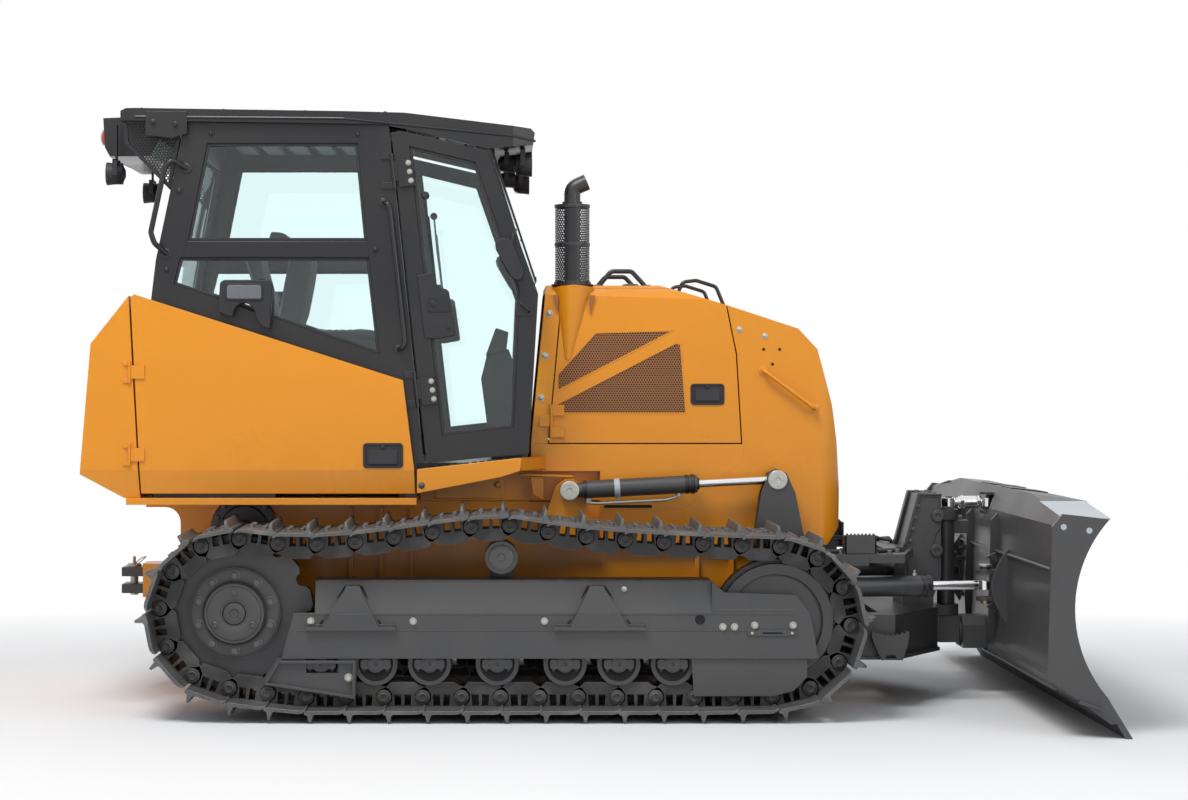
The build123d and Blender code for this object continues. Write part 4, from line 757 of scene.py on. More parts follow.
# ---- tracks ----
@dataclass
class TrackLine:
    """Line of the pins of one track, worked out from its wheels."""

    pitch: float = 0.171
    shoes: int = 40
    teeth: int = 12
    sprocket: Pair = (-1.17, 0.466)
    phase: float = radians(176.0)
    idler: Pair = (1.2, 0.432)
    idler_r: float = 0.2523
    pin_z: float = 0.097
    rail: float = 0.067
    carrier: Pair = (0.006, 0.712)
    carrier_r: float = 0.072
    chord_rise: float = 0.011
    ground: Pair = (-0.878, 0.849)
    slopes: tuple[float, float, float, float] = (-0.17, 0.08, -0.2, -0.04)

    @property
    def sprocket_r(self) -> float:
        """Radius of the seated pins."""
        return self.pitch / (2 * sin(pi / self.teeth))

    def tangent(self, px: float, centre: Pair, radius: float, side: int) -> float:
        """Angle on a circle where a line from the ground run touches it."""
        dx, dz = px - centre[0], self.pin_z - centre[1]
        spread = atan2(sqrt(dx * dx + dz * dz - radius * radius), radius)
        return atan2(dz, dx) + side * spread

    @staticmethod
    def arc(centre: Pair, radius: float, start: float, end: float) -> list:
        """Points on an arc."""
        steps = 120
        return [(centre[0] + radius * cos(start + (end - start) * i / steps), centre[1] + radius
            * sin(start + (end - start) * i / steps)) for i in range(steps + 1)]

    @staticmethod
    def span(a: Pair, slope_a: float, b: Pair, slope_b: float) -> list:
        """Sagging run between two supports."""
        steps, run, points = 120, b[0] - a[0], []
        for i in range(steps + 1):
            t = i / steps
            z = (2 * t**3 - 3 * t**2 + 1) * a[1] + (t**3 - 2 * t**2 + t) * run * slope_a + (-2
                * t**3 + 3 * t**2) * b[1] + (t**3 - t**2) * run * slope_b
            points.append((a[0] + run * t, z))
        return points

    @staticmethod
    def straight(a: Pair, b: Pair, steps: int = 120) -> list:
        """Straight run, ends left out."""
        return [(a[0] + (b[0] - a[0]) * i / steps, a[1] + (b[1] - a[1]) * i / steps) for i in range(
            1, steps)]

    def path(self, idler_x: float) -> list:
        """Closed line of the pins for one place of the idler."""
        rear, front = self.ground
        idler = (idler_x, self.idler[1])
        idler_r = hypot(self.idler_r + self.rail, self.pitch / 2)
        carrier_z = self.carrier[1] + self.carrier_r + self.rail + self.chord_rise
        leave, rear_end, fore_start, meet = (pi / 2 + atan(s) for s in self.slopes)
        low_rear = self.tangent(rear, self.sprocket, self.sprocket_r, -1)
        low_front = self.tangent(front, idler, idler_r, 1)
        front_arc = self.arc(idler, idler_r, low_front, meet)
        rear_arc = self.arc(self.sprocket, self.sprocket_r, leave, 2 * pi + low_rear)
        top = (self.carrier[0], carrier_z)
        fore = self.span(front_arc[-1], self.slopes[3], top, self.slopes[2])
        aft = self.span(top, self.slopes[1], rear_arc[0], self.slopes[0])
        low = (rear, self.pin_z), (front, self.pin_z)
        return rear_arc + self.straight(rear_arc[-1], low[0]) + self.straight(*low,
            400) + self.straight(low[1], front_arc[0]) + front_arc + fore[1:] + aft[1:-1]

    def march(self, path: list, start: Pair) -> tuple[list, float]:
        """Pins one pitch apart, and how far the last runs past the first."""
        total = len(path)

        def reach(k: int, spot: Pair) -> float:
            return dist(path[k % total], spot)

        first = min(range(total), key=lambda k: reach(k, start))
        pins, i, part = [start], first, 0.0
        for _ in range(self.shoes):
            here = pins[-1]
            while reach(i + 1, here) < self.pitch:
                i += 1
            (ax, az), (bx, bz) = path[i % total], path[(i + 1) % total]
            part = (self.pitch - reach(i, here)) / (reach(i + 1, here) - reach(i, here))
            pins.append((ax + (bx - ax) * part, az + (bz - az) * part))
        return pins, i + part - first - total

    def pins(self) -> tuple[list, float]:
        """Pins of the closed track, and the idler's place that closes it."""
        start = (self.sprocket[0] + self.sprocket_r * cos(self.phase), self.sprocket[1]
            + self.sprocket_r * sin(self.phase))
        low, high = self.idler[0] - self.pitch, self.idler[0] + self.pitch
        pins, middle = [], low
        for _ in range(40):
            middle = (low + high) / 2
            pins, past = self.march(self.path(middle), start)
            low, high = (middle, high) if past > 0 else (low, middle)
        return pins[:self.shoes], middle


@dataclass
class TrackRun:
    """One track: shoes with grousers, bolts, links, bushings and pins."""

    line: TrackLine = field(default_factory=TrackLine)
    track_y: float = 0.889
    half: float = 0.254
    plate_in: float = 0.04
    plate: float = 0.018
    bar: float = 0.039
    bar_at: float = -0.058
    rail_y: float = 0.071
    link_thick: float = 0.021
    bushing_r: float = 0.029
    pin_r: float = 0.019

    def shoe(self) -> Form:
        """One shoe with its bolts, drawn along, across and outward."""
        n0, n1 = self.plate_in, self.plate_in + self.plate
        top, at = n1 + self.bar, self.bar_at
        section = [(-0.083, n0 + 0.006), (-0.083, n1 - 0.002), (-0.076, n1 + 0.001), (at - 0.012,
            n1 + 0.002), (at - 0.0065, top - 0.003), (at - 0.004, top), (at + 0.004, top),
            (at + 0.0065, top - 0.003), (at + 0.013, n1 + 0.002), (at + 0.022, n1 - 0.002), (0.06,
            n1 - 0.002), (0.078, n1 - 0.005), (0.092, n1 - 0.013), (0.099, n1 - 0.024), (0.093,
            n1 - 0.026), (0.083, n1 - 0.02), (0.07, n0), (-0.07, n0)]
        form = Form()
        rings = []
        for y, cut in ((-self.half, 0.016), (-self.half + 0.016, 0.0), (self.half - 0.016, 0.0),
                (self.half, 0.016)):
            rings.append([form.bm.verts.new((u, y, n - cut if n > n1 + 0.02 else n)) for u,
                n in section])
        for one, two in zip(rings, rings[1:]):
            form._bridge(one, two)
        form.bm.faces.new(rings[0])
        form.bm.faces.new(rings[-1])
        for u in (-0.02, 0.04):
            for y in (-self.rail_y, self.rail_y):
                for d in (-0.022, 0.022):
                    form.bolt((u, y + d, n1 - 0.003), UP, 0.026, 0.013, washer=False)
        return form

    def link(self) -> Form:
        """Pair of links with their pin and bushing, drawn along, across and outward."""
        p = self.line.pitch / 2
        r = 0.037
        lip, low = self.plate_in, -0.012
        rail = [(-p - 0.034, low), (-p - 0.034, -0.016), (-p - 0.018, -0.033), (-p + 0.01, -0.046),
            (-p + 0.03, -0.067), (p - 0.034, -0.067), (p - 0.012, -0.052), (p + 0.02, -0.04),
            (p + r, -0.016), (p + r, low)]
        rear = [(-p - 0.034, low), (-0.042, low), (-0.038, lip), (-p + 0.022, lip), (-p - 0.012,
            0.03), (-p - 0.034, 0.012)]
        fore = [(0.036, low), (p + r, low), (p + r, 0.014), (p + 0.018, 0.034), (p - 0.004, lip),
            (0.032, lip)]
        post = [(-0.01, low), (0.006, low), (0.004, lip), (-0.008, lip)]
        form = Form()
        t = self.link_thick
        for s in (-1, 1):
            a, b = s * (self.rail_y - t), s * (self.rail_y + t)
            for outline in (rail, rear, fore, post):
                form.plate(outline, a, b)
            # boss round the pin, and the pin's dished end
            face = s * (self.rail_y + t)
            way = Vector((0, s, 0))
            form.lathe([(-0.004, 0.033), (0.007, 0.033), (0.009, 0.029)], (p, face, 0), way, 20)
            form.lathe([(0, self.pin_r), (0.013, self.pin_r), (0.014, 0.017), (0.012, 0.012),
                (0.012, 0)], (p, face, 0), way, 16)
        form.lathe([(-self.rail_y, self.bushing_r), (self.rail_y, self.bushing_r)], (p, 0, 0),
            Axis.Y, 20)
        return form

    def places(self, side: int) -> list[Matrix]:
        """Where each shoe lies on the track."""
        pins, _ = self.line.pins()
        found = []
        for k, (ax, az) in enumerate(pins):
            bx, bz = pins[(k + 1) % len(pins)]
            dx, dz = (bx - ax) / self.line.pitch, (bz - az) / self.line.pitch
            found.append(Matrix(((dx, 0, dz, (ax + bx) / 2), (0, 1, 0, side * self.track_y), (dz, 0,
                -dx, (az + bz) / 2), (0, 0, 0, 1))))
        return found

    def build(self) -> None:
        """Make the shoes and the chain of each side."""
        for name, side in SIDES.items():
            places = self.places(side)
            shoes = Form().copies(self.shoe(), places).finish("shoes_" + name, SHOE_STEEL)
            chain = Form().copies(self.link(), places).finish("chain_" + name, SHADED_LINK_STEEL)
            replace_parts(shoes, "track_" + name)
            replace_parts(chain, "track_" + name)


# ---- hood ----
@dataclass
class Hood:
    """Grilles, latches, bolts, rails, exhaust and the bulge under it."""

    half: float = 0.46
    crease: tuple = ((0.16, 1.368), (1.047, 1.825))
    lean: float = radians(3.0)
    grilles: tuple = (("upper", ((0.262, 1.44), (0.262, 1.52), (0.44, 1.715), (0.8, 1.722),
        (0.7, 1.665))), ("lower", ((0.262, 1.337), (0.262, 1.385), (0.81, 1.668), (0.836, 1.66),
        (0.862, 1.337))))
    strip_bolts: tuple = ((0.228, 1.8), (0.207, 1.606), (0.188, 1.412))
    nose_bolts: tuple = ((1.103, 1.727), (1.22, 1.697))
    plugs: tuple = ((1.215, 1.635), (1.289, 1.635), (1.256, 1.567), (0.194, 1.116), (0.191, 1.086))
    stack: Pair = (0.336, -0.362)
    guard_r: float = 0.08
    guard_z: Pair = (1.946, 2.3)

    def side_y(self, x: float, z: float) -> float:
        """Distance of the hood's side from the middle plane."""
        (x0, z0), (x1, z1) = self.crease
        above = ((x1 - x0) * (z - z0) - (z1 - z0) * (x - x0)) / hypot(x1 - x0, z1 - z0)
        return self.half - max(0.0, above) * tan(self.lean)

    def build(self) -> None:
        """Make all pieces of the hood."""
        both(self.side)
        self.bulge()
        self.exhaust()
        self.rails()
        self.front()

    def side(self, name: str, s: int) -> None:
        """Grilles, latch, bolts and handle of one side."""
        out, door = Vector((0, s, 0)), "engine_door_" + name

        def at(depth: float) -> Callable[[float, float], Vector]:
            """Places on the side at a depth."""
            return lambda x, z: Vector((x, s * (self.side_y(x, z) + depth), z))

        for label, outline in self.grilles:
            Form().pierced(drawn_in(outline, -0.004), at(-0.0015)).finish(f"grille_{label}_{name}",
                SHADED_GRILLE, body=door)
            # Near-black sheet behind the mesh: painted shade of the bay behind the grille.
            Form().panel(drawn_in(outline, -0.003), at(-0.0038)).finish(
                f"grille_shade_back_{label}_{name}", SHADE_AND_JOINT_BLACK, body=door)
            rim = Form()
            inner = drawn_in(outline, 0.007)
            for i in range(len(outline)):
                j = (i + 1) % len(outline)
                rim.loft([[at(d)(*p) for p in (outline[i], outline[j], inner[j], inner[i])]
                    for d in (-0.004, 0.0015)])
            rim.finish(f"grille_rim_{label}_{name}", ORANGE, body=door)
        self.latch(name, s)
        bolts = Form()
        for x, z in self.strip_bolts:
            bolts.dome((x, s * self.side_y(x, z), z), out, 0.012)
        for x, z in self.nose_bolts:
            bolts.dome((x, s * self.half, z), out, 0.01)
        bolts.bolt((0.166, s * self.half, 1.111), out)
        bolts.finish("hood_bolts_" + name, ZINC)
        plugs = Form()
        for x, z in self.plugs:
            plugs.lathe([(-0.002, 0.007), (0.001, 0.007), (0.0015, 0.005), (0.0005, 0)],
                (x, s * self.half, z), out, 14)
        plugs.finish("hood_plugs_" + name, SHADE_AND_JOINT_BLACK)
        y = s * self.half
        Form().tube([(1.212, y - s * 0.004, 1.538), (1.214, y + s * 0.042, 1.537), (1.447,
            y + s * 0.042, 1.363), (1.449, y - s * 0.004, 1.362)], 0.0105,
            0.03).finish("nose_handle_" + name, ORANGE)
        feet = Form()
        for x, z in ((1.212, 1.538), (1.449, 1.362)):
            feet.lathe([(-0.003, 0.022), (0.003, 0.022), (0.006, 0.015)], (x, y, z), out, 18)
        feet.finish("nose_handle_feet_" + name, ORANGE)
        slit = Form().block((0.48, y - s * 0.002, 0.905), (0.7, y + s * 0.002, 0.918))
        slit.finish("low_slit_" + name, SHADE_AND_JOINT_BLACK)

    def latch(self, name: str, s: int) -> None:
        """Recessed paddle latch of one engine door."""
        door, y = "engine_door_" + name, s * self.half
        frame = rounded_box(0.878, 1.034, 1.379, 1.477, 0.016)
        Form().plate(frame, y - s * 0.004, y + s * 0.001).band(frame, 0.009, Axis.Y, y,
            y + s * 0.006).finish("latch_" + name, PLASTIC, 0.0015, body=door)
        paddle = Form().loft([[(x, y + s * d, z) for x, d, z in ((0.9, 0.001, z0), (1.012, 0.001,
            z0), (1.012, d1, z0), (0.9, d1, z0))] for z0, d1 in ((1.398, 0.012), (1.42, 0.009),
            (1.452, 0.005))])
        paddle.lathe([(0, 0.009), (0.008, 0.009), (0.009, 0.007)], (0.956, y, 1.462), Vector((0, s,
            0)), 18)
        paddle.finish("latch_paddle_" + name, PLASTIC, 0.0015, body=door)

    def bulge(self) -> None:
        """Half cone on the right engine door that carries the stack's shoulder down the side."""
        rings = []
        steps = 14
        for i in range(9):
            t = i / 8
            x, y = 0.34 - 0.027 * t, -0.384 - 0.061 * t
            z, r = 1.9335 - 0.345 * t, 0.099 - 0.083 * t
            reach = acos(max(-0.3, min(1.0, (-0.4085 - y) / -r)))
            rings.append([(x + r * sin(a), y - r * cos(a), z - 0.01 * (1 - t) * abs(a)) for a in [
                reach * (2 * k / steps - 1) for k in range(steps + 1)]])
        Form().loft(rings, closed=False, caps=False).panel([(x, y) for x, y, _ in rings[0]],
            lambda x, y: Vector((x, y, 1.9335))).finish("stack_bulge", ORANGE, smooth=50.0,
            body="engine_door_r")
        # The vent openings are drawn as dark brown plates: painted shade inside the vents.
        for label, outline in (("rear", ((0.246, 1.885), (0.27, 1.885), (0.266, 1.792))), ("front",
                ((0.411, 1.885), (0.438, 1.885), (0.416, 1.792)))):
            Form().plate(outline, -0.452, -0.4585).finish("bulge_vent_shade_" + label, SHADED_GRILLE,
                body="engine_door_r")

    def exhaust(self) -> None:
        """Stack, its perforated guard and the guard's rims and feet."""
        x, y = self.stack
        low, high = self.guard_z
        r, holes = self.guard_r, 40
        pitch = 2 * pi * r / holes

        def wrap(u: float, v: float) -> Vector:
            """Place on the round guard."""
            return Vector((x + r * cos(u / r), y + r * sin(u / r), v))

        around = 2 * pi * r - 0.0001
        guard = Form().pierced([(0, low), (around, low), (around, high), (0, high)], wrap, pitch,
            0.0043)
        guard = guard.finish("guard", STACK_BLACK, smooth=60.0)
        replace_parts(guard, "exhaust")
        rims = Form()
        for z in (low - 0.008, high - 0.006, (low + high) / 2 - 0.008):
            rims.ring((x, y, z), UP, 0.014, r - 0.002, r + 0.003, 40)
        rims.ring((x, y, 1.932), UP, 0.006, 0.06, 0.098, 40)
        for u, v in circle(6, 0.09, 30):
            rims.bolt((x + u, y + v, 1.9375), UP, 0.014, 0.008)
        rims.finish("guard_rims", STACK_BLACK)
        line = [(x, y, 1.905), (x, y, 2.385), (x + 0.056, y, 2.409)]
        pipe = Form().tube(line, 0.038, 0.09, 28)
        way = Vector((0.056, 0, 0.024)).normalized()
        end = Vector(line[-1])
        pipe.lathe([(-0.004, 0.034), (-0.004, 0.0385), (0.012, 0.0385), (0.012, 0.034)], end, way,
            28, hollow=True)
        pipe.ring((x, y, 2.3), UP, 0.022, 0.036, 0.047, 28)
        pipe.finish("stack", STACK_BLACK)
        # Near-black disc just inside the pipe's end: painted shade that stands for the open bore.
        Form().lathe([(0.0005, 0.0342), (0.001, 0.0342), (0.001, 0)], end, way,
            24).finish("stack_mouth_shade", SHADE_AND_JOINT_BLACK)

    def rails(self) -> None:
        """Rails on top of the hood and along its front shoulders."""
        top = Form()
        for s in (-1, 1):
            y = s * 0.33
            top.tube([(0.457, y, 1.928), (0.517, y, 2.0), (0.613, y, 2.0), (0.679, y, 1.928)],
                0.011, 0.03)
            for x in (0.457, 0.679):
                top.lathe([(0, 0.024), (0.005, 0.024), (0.007, 0.016)], (x, y, 1.931), Axis.Z, 16)
        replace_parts(top.finish("top_rails", BLACK), "grab_rails")
        low = Form()
        for s in (-1, 1):
            y = s * 0.345
            low.tube([(0.829, y, 1.9), (0.85, y, 1.95), (0.912, y, 1.957), (1.005, y, 1.928),
                (1.042, y, 1.838)], 0.009, 0.03)
        low.finish("shoulder_rails", BLACK)
        lid = Form().prism(rounded_box(0.56, 0.69, -0.07, 0.07, 0.03), Axis.Z, 1.93, 1.938)
        lid.lathe([(0, 0.04), (0.012, 0.04), (0.016, 0.034), (0.016, 0)], (0.625, 0, 1.937), Axis.Z,
            24)
        lid.finish("filler_lid", BLACK, 0.002)

    def front(self) -> None:
        """Louvres over the radiator in the nose's front face."""
        face = ((1.533, 1.379), (1.557, 1.215), (1.574, 0.98), (1.569, 0.816))

        def reach(z: float) -> float:
            """Front of the face at a height."""
            for (x0, z0), (x1, z1) in zip(face, face[1:]):
                if z >= z1:
                    return x0 + (x1 - x0) * (z - z0) / (z1 - z0)
            return face[-1][0]

        slats = Form()
        for k in range(15):
            z = 0.88 + 0.032 * k
            x = reach(z)
            slats.plate([(x - 0.012, z), (x + 0.006, z - 0.01), (x + 0.006, z + 0.004), (x - 0.012,
                z + 0.016)], -0.305, 0.305)
        for y in (-0.305, -0.102, 0.09, 0.293):
            slats.plate([(reach(z) + d, z) for z, d in ((0.862, -0.01), (0.862, 0.008), (0.98,
                0.008), (1.215, 0.008), (1.362, 0.008), (1.362, -0.01))], y, y + 0.012)
        slats.finish("nose_louvres", BLACK, 0.001)
        # Near-black plates behind the slats: painted shade behind the louvres.
        back = Form()
        for (x0, z0), (x1, z1) in zip(face, face[1:]):
            z0, z1 = min(z0, 1.362), max(z1, 0.862)
            back.plate([(reach(z0) - 0.01, z0), (reach(z0) + 0.001, z0), (reach(z1) + 0.001, z1),
                (reach(z1) - 0.01, z1)], -0.3, 0.3)
        back.finish("nose_louvres_shade", SHADE_AND_JOINT_BLACK)


# ---- cab ----
@dataclass
class Cab:
    """Seals, hinges, handles, lamps and brackets of the cab and its roof."""

    half: float = 0.74
    upper: tuple = ((-1.318, 2.56), (-0.64, 2.56), (-0.598, 2.12), (-1.405, 2.12))
    lower: tuple = ((-1.44, 2.045), (-0.59, 2.045), (-0.54, 1.61), (-1.47, 1.925))
    door: tuple = ((-0.41, 2.548), (-0.11, 2.475), (0.09, 1.9), (0.062, 1.278), (-0.262, 1.242))
    hinge_line: tuple = ((-0.495, 2.63), (-0.337, 1.12))

    def build(self) -> None:
        """Make all pieces of the cab."""
        both(self.side)
        both(self.door_fittings)
        both(self.roof_side)
        self.lamps()
        self.roof()
        self.windscreen()

    def hinge_x(self, z: float) -> float:
        """Place of the door's hinge line at a height."""
        (x0, z0), (x1, z1) = self.hinge_line
        return x0 + (x1 - x0) * (z - z0) / (z1 - z0)

    def side(self, name: str, s: int) -> None:
        """Window seals, bolts, grab bar and rear handle of one side."""
        y, out = s * self.half, Vector((0, s, 0))
        seals = Form()
        for window in (self.upper, self.lower):
            seals.band(window, 0.014, Axis.Y, y - s * 0.018, y - s * 0.006)
        seals.finish("window_seals_" + name, RUBBER, 0.002)
        sill = Form().plate([(-1.405, 2.118), (-0.598, 2.118), (-0.59, 2.047), (-1.432, 2.047)],
            y - s * 0.001, y + s * 0.004)
        sill.finish("window_bar_" + name, BLACK, 0.002)
        bolts = Form()
        for x, z in ((-1.444, 2.344), (-1.5, 1.99), (-1.3, 2.605), (-0.64, 2.6), (-0.56, 2.08)):
            bolts.dome((x, y, z), out, 0.011)
        bolts.finish("cab_bolts_" + name, BLACK)
        x0, x1 = self.hinge_x(2.286) - 0.034, self.hinge_x(1.64) - 0.034
        bar = Form().tube([(x0 - 0.03, y - s * 0.002, 2.292), (x0 - 0.012, y + s * 0.05, 2.288),
            (x0, y + s * 0.05, 2.262), (x1, y + s * 0.05, 1.664), (x1 - 0.012, y + s * 0.05, 1.636),
            (x1 - 0.03, y - s * 0.002, 1.632)], 0.0115, 0.03)
        for x, z in ((x0 - 0.03, 2.292), (x1 - 0.03, 1.632)):
            bar.lathe([(0, 0.022), (0.005, 0.022), (0.008, 0.014)], (x, y, z), out, 16)
        bar.finish("grab_bar_" + name, BLACK)
        line = [(-1.41, 2.446), (-1.472, 2.484), (-1.503, 2.445), (-1.565, 2.156), (-1.55, 2.108),
            (-1.5, 2.062)]
        way = [0.004, 0.052, 0.052, 0.052, 0.052, 0.004]
        handle = Form().tube([(x, y + s * (d - 0.004), z) for (x, z), d in zip(line, way)], 0.0125,
            0.035)
        for x, z in (line[0], line[-1]):
            handle.lathe([(0, 0.024), (0.005, 0.024), (0.008, 0.015)], (x, y - s * 0.001, z), out,
                16)
        handle.finish("rear_handle_" + name, BLACK)
        self.housing(name, s)

    def housing(self, name: str, s: int) -> None:
        """Lamp housing on the shoulder of the side box, over an arched opening."""
        arch = [(-1.068 - 0.0775 - 0.05 * cos(a), 1.779 + 0.06 * sin(a)) for a in [pi * k / 8
            for k in range(9)]]
        outline = [(-1.262, 1.8), (-1.254, 1.93), (-1.236, 1.943), (-1.035, 1.943), (-1.02, 1.928),
            (-1.03, 1.722), (-1.068, 1.735), *reversed(arch), (-1.222, 1.782)]
        Form().plate(outline, s * (self.half - 0.004), s * (self.half + 0.062)).finish(
            "lamp_housing_" + name, PLASTIC, 0.006)
        lamp = Form().plate(rounded_box(-1.23, -1.06, 1.85, 1.925, 0.014), s * (self.half + 0.06),
            s * (self.half + 0.068))
        lamp.finish("side_lamp_frame_" + name, BLACK, 0.003)
        Form().plate(rounded_box(-1.222, -1.068, 1.858, 1.917, 0.01), s * (self.half + 0.066),
            s * (self.half + 0.071)).finish("side_lamp_lens_" + name, LENS, 0.002)

    def door_fittings(self, name: str, s: int) -> None:
        """Hinge leaves, seal, latch cover, wiper, mirror and striker of one door."""
        y, out, body = s * self.half, Vector((0, s, 0)), "cab_door_" + name
        Form().band(self.door, 0.014, Axis.Y, y - s * 0.018, y - s * 0.006).finish("door_seal_"
            + name, RUBBER, 0.002, body=body)
        leaves, bolts = Form(), Form()
        for z in (2.43, 1.449):
            x = self.hinge_x(z) + 0.012
            leaves.plate([(x - 0.004, z + 0.06), (x + 0.066, z + 0.052), (x + 0.082, z - 0.062),
                (x + 0.01, z - 0.07)], y + s * 0.0145, y + s * 0.021)
            for k in (-1, 0, 1):
                bolts.bolt((x + 0.05 + 0.006 * (1 - k), y + s * 0.02, z + 0.04 * k), out, 0.02)
        leaves.finish("door_leaves_" + name, BLACK, 0.002, body=body)
        bolts.finish("door_bolts_" + name, ZINC, body=body)
        cover = [(-0.374, 1.965), (-0.301, 1.979), (-0.286, 1.93), (-0.274, 1.912), (-0.24, 1.902),
            (-0.229, 1.89), (-0.202, 1.7), (-0.208, 1.692), (-0.283, 1.678), (-0.341, 1.683)]
        plate = Form().plate(cover, y - s * 0.014, y + s * 0.01)
        plate.finish("latch_cover_" + name, PLASTIC, 0.005, body=body)
        grip = Form().plate(rounded_box(-0.325, -0.225, 1.8, 1.872, 0.016), y + s * 0.009,
            y + s * 0.013)
        grip.lathe([(0, 0.013), (0.008, 0.012), (0.009, 0.009)], (-0.3, y + s * 0.012, 1.836), out,
            18)
        grip.bolt((-0.23, y + s * 0.01, 1.73), out, 0.012, 0.005)
        grip.finish("door_handle_" + name, BLACK, 0.002, body=body)
        wiper = Form().tube([(-0.336, y + s * 0.022, 2.324), (-0.32, y + s * 0.024, 2.15), (-0.306,
            y + s * 0.004, 2.05)], 0.005, 0.02, 8)
        wiper.lathe([(-0.022, 0.018), (0.014, 0.018), (0.026, 0.013), (0.028, 0)], (-0.336, y,
            2.324), out, 20)
        wiper.plate([(-0.33, 2.23), (-0.318, 2.23), (-0.28, 1.882), (-0.292, 1.882)], y - s * 0.01,
            y + s * 0.006)
        wiper.finish("wiper_" + name, RUBBER, 0.001, body=body)
        glass = [(-0.022, 2.098), (-0.014, 2.12), (0.004, 2.13), (0.04, 2.127), (0.052, 2.112),
            (0.103, 1.985), (0.103, 1.958), (0.094, 1.944), (0.076, 1.94), (0.06, 1.948), (0.044,
            1.968), (-0.018, 2.076)]
        mirror = Form().loft([[(0.042 + (u - 0.042) * k, y + s * d, 2.035 + (v - 2.035) * k) for u,
            v in glass] for d, k in ((0.03, 0.55), (0.036, 0.88), (0.048, 1.0), (0.06, 1.0), (0.063,
            0.97))])
        mirror.tube([(0.07, y - s * 0.01, 2.17), (0.06, y + s * 0.03, 2.15), (0.04, y + s * 0.036,
            2.06)], 0.007, 0.03, 10)
        mirror.finish("mirror_" + name, PLASTIC, body=body)
        loop = Form().tube([(0.092, y - s * 0.002, 1.842), (0.092, y + s * 0.036, 1.84), (0.13,
            y + s * 0.036, 1.806), (0.13, y - s * 0.002, 1.8)], 0.006, 0.012, 10)
        loop.plate(rounded_box(0.074, 0.148, 1.782, 1.86, 0.012), y - s * 0.001, y + s * 0.005)
        loop.finish("striker_" + name, BLACK, 0.001, body=body)

    def roof_side(self, name: str, s: int) -> None:
        """Drip rail, bracket plate and rear gusset of one side of the roof."""
        Form().tube([(-1.64, s * 0.773, 2.676), (-0.7, s * 0.775, 2.668), (0.055, s * 0.692, 2.598),
            (0.16, s * 0.643, 2.578)], 0.006, 0.05, 8).finish("drip_rail_" + name, BLACK)
        out = Vector((0, s, 0))
        plate = Form().plate([(-1.59, 2.7), (-1.404, 2.7), (-1.404, 2.6), (-1.47, 2.58), (-1.59,
            2.592)], s * 0.768, s * 0.78)
        for x, z in ((-1.555, 2.65), (-1.455, 2.64)):
            plate.bolt((x, s * 0.78, z), out, 0.022)
        plate.finish("roof_bracket_" + name, BLACK, 0.002)
        gusset = Form().band([(-1.695, 2.664), (-1.455, 2.664), (-1.44, 2.58), (-1.486, 2.35),
            (-1.69, 2.56)], 0.016, Axis.Y, s * 0.712, s * 0.728)
        gusset.finish("rear_gusset_" + name, BLACK, 0.002)
        Form().pierced([(-1.685, 2.66), (-1.455, 2.66), (-1.446, 2.58), (-1.484, 2.362), (-1.684,
            2.564)], lambda x, z: Vector((x, s * 0.72, z)), 0.014, 0.0048).finish("rear_mesh_"
            + name, BLACK)

    def lamps(self) -> None:
        """Work lamps under both ends of the roof and the red lamps at the rear."""
        cases, lenses, red = Form(), Form(), Form()
        for s in (-1, 1):
            spots = (((-1.706, s * 0.6, 2.433), -1, 0.05, 2.655), ((0.062, s * 0.56, 2.48), 1,
                0.055, 2.56), ((-0.01, s * 0.47, 2.49), 1, 0.04, 2.556))
            for at, way, r, top in spots:
                x, y, z = at
                cases.lathe([(0, 0.4 * r), (0.01, 0.75 * r), (0.034, 0.95 * r), (0.062, r), (0.078,
                    1.04 * r), (0.084, 1.04 * r), (0.084, 0.9 * r), (0.078, 0.88 * r)], at,
                    Vector((way, 0, 0)), 28)
                cases.loft([[(x + way * (0.04 + u), y + 0.018 * v, h) for u, v in ((-0.004, -1),
                    (0.004, -1), (0.004, 1), (-0.004, 1))] for h in (z + 0.8 * r, top)])
                for side in (-1, 1):
                    cases.block((x + way * 0.03, y + side * 1.02 * r, z - 0.01), (x + way * 0.052,
                        y + side * 1.1 * r, z + 1.25 * r))
                cases.block((x + way * 0.041 - 0.011, y - 1.1 * r, z + 1.15 * r),
                    (x + way * 0.041 + 0.011, y + 1.1 * r, z + 1.25 * r))
                for k in range(9):
                    cases.lathe([(0.012 + 0.005 * k, 0.98 * r), (0.014 + 0.005 * k, 0.98 * r)], at,
                        Vector((way, 0, 0)), 24)
                lenses.lathe([(0.076, 0.9 * r), (0.082, 0.86 * r), (0.086, 0.4 * r), (0.087, 0)],
                    at, Vector((way, 0, 0)), 24)
            red.lathe([(-0.004, 0.046), (0.004, 0.046), (0.006, 0.04), (0.016, 0.037), (0.026,
                0.024), (0.029, 0)], (-1.817, s * 0.42, 2.615), Vector((-1, 0, 0.05)), 28)
        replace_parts(cases.finish("work_lamp_cases", PLASTIC), "work_lamps")
        lenses.finish("work_lamp_lenses", LENS)
        red.finish("tail_lamps", RED)

    def roof(self) -> None:
        """Raised panel, screws and vents of the roof and the box under its rear."""
        top = Form().plate([(-1.56, 2.7), (-1.545, 2.725), (-0.48, 2.709), (-0.462, 2.69)], -0.56,
            0.56)
        top.plate([(-0.4, 2.68), (-0.392, 2.704), (-0.02, 2.663), (0.0, 2.64)], -0.48, 0.48)
        top.finish("roof_panels", BLACK, 0.006)
        screws = Form()
        for x in (-1.62, -1.25, -0.88, -0.52):
            for s in (-1, 1):
                screws.dome((x, s * 0.69, 2.7165 - 0.0152 * (x + 1.68)), UP, 0.01)
        screws.finish("roof_screws", BLACK)
        vents = Form()
        for k in range(6):
            z = 2.535 + 0.02 * k
            vents.block((-1.822, -0.3, z), (-1.806, 0.3, z + 0.007))
        vents.finish("rear_vents", PLASTIC, 0.001)

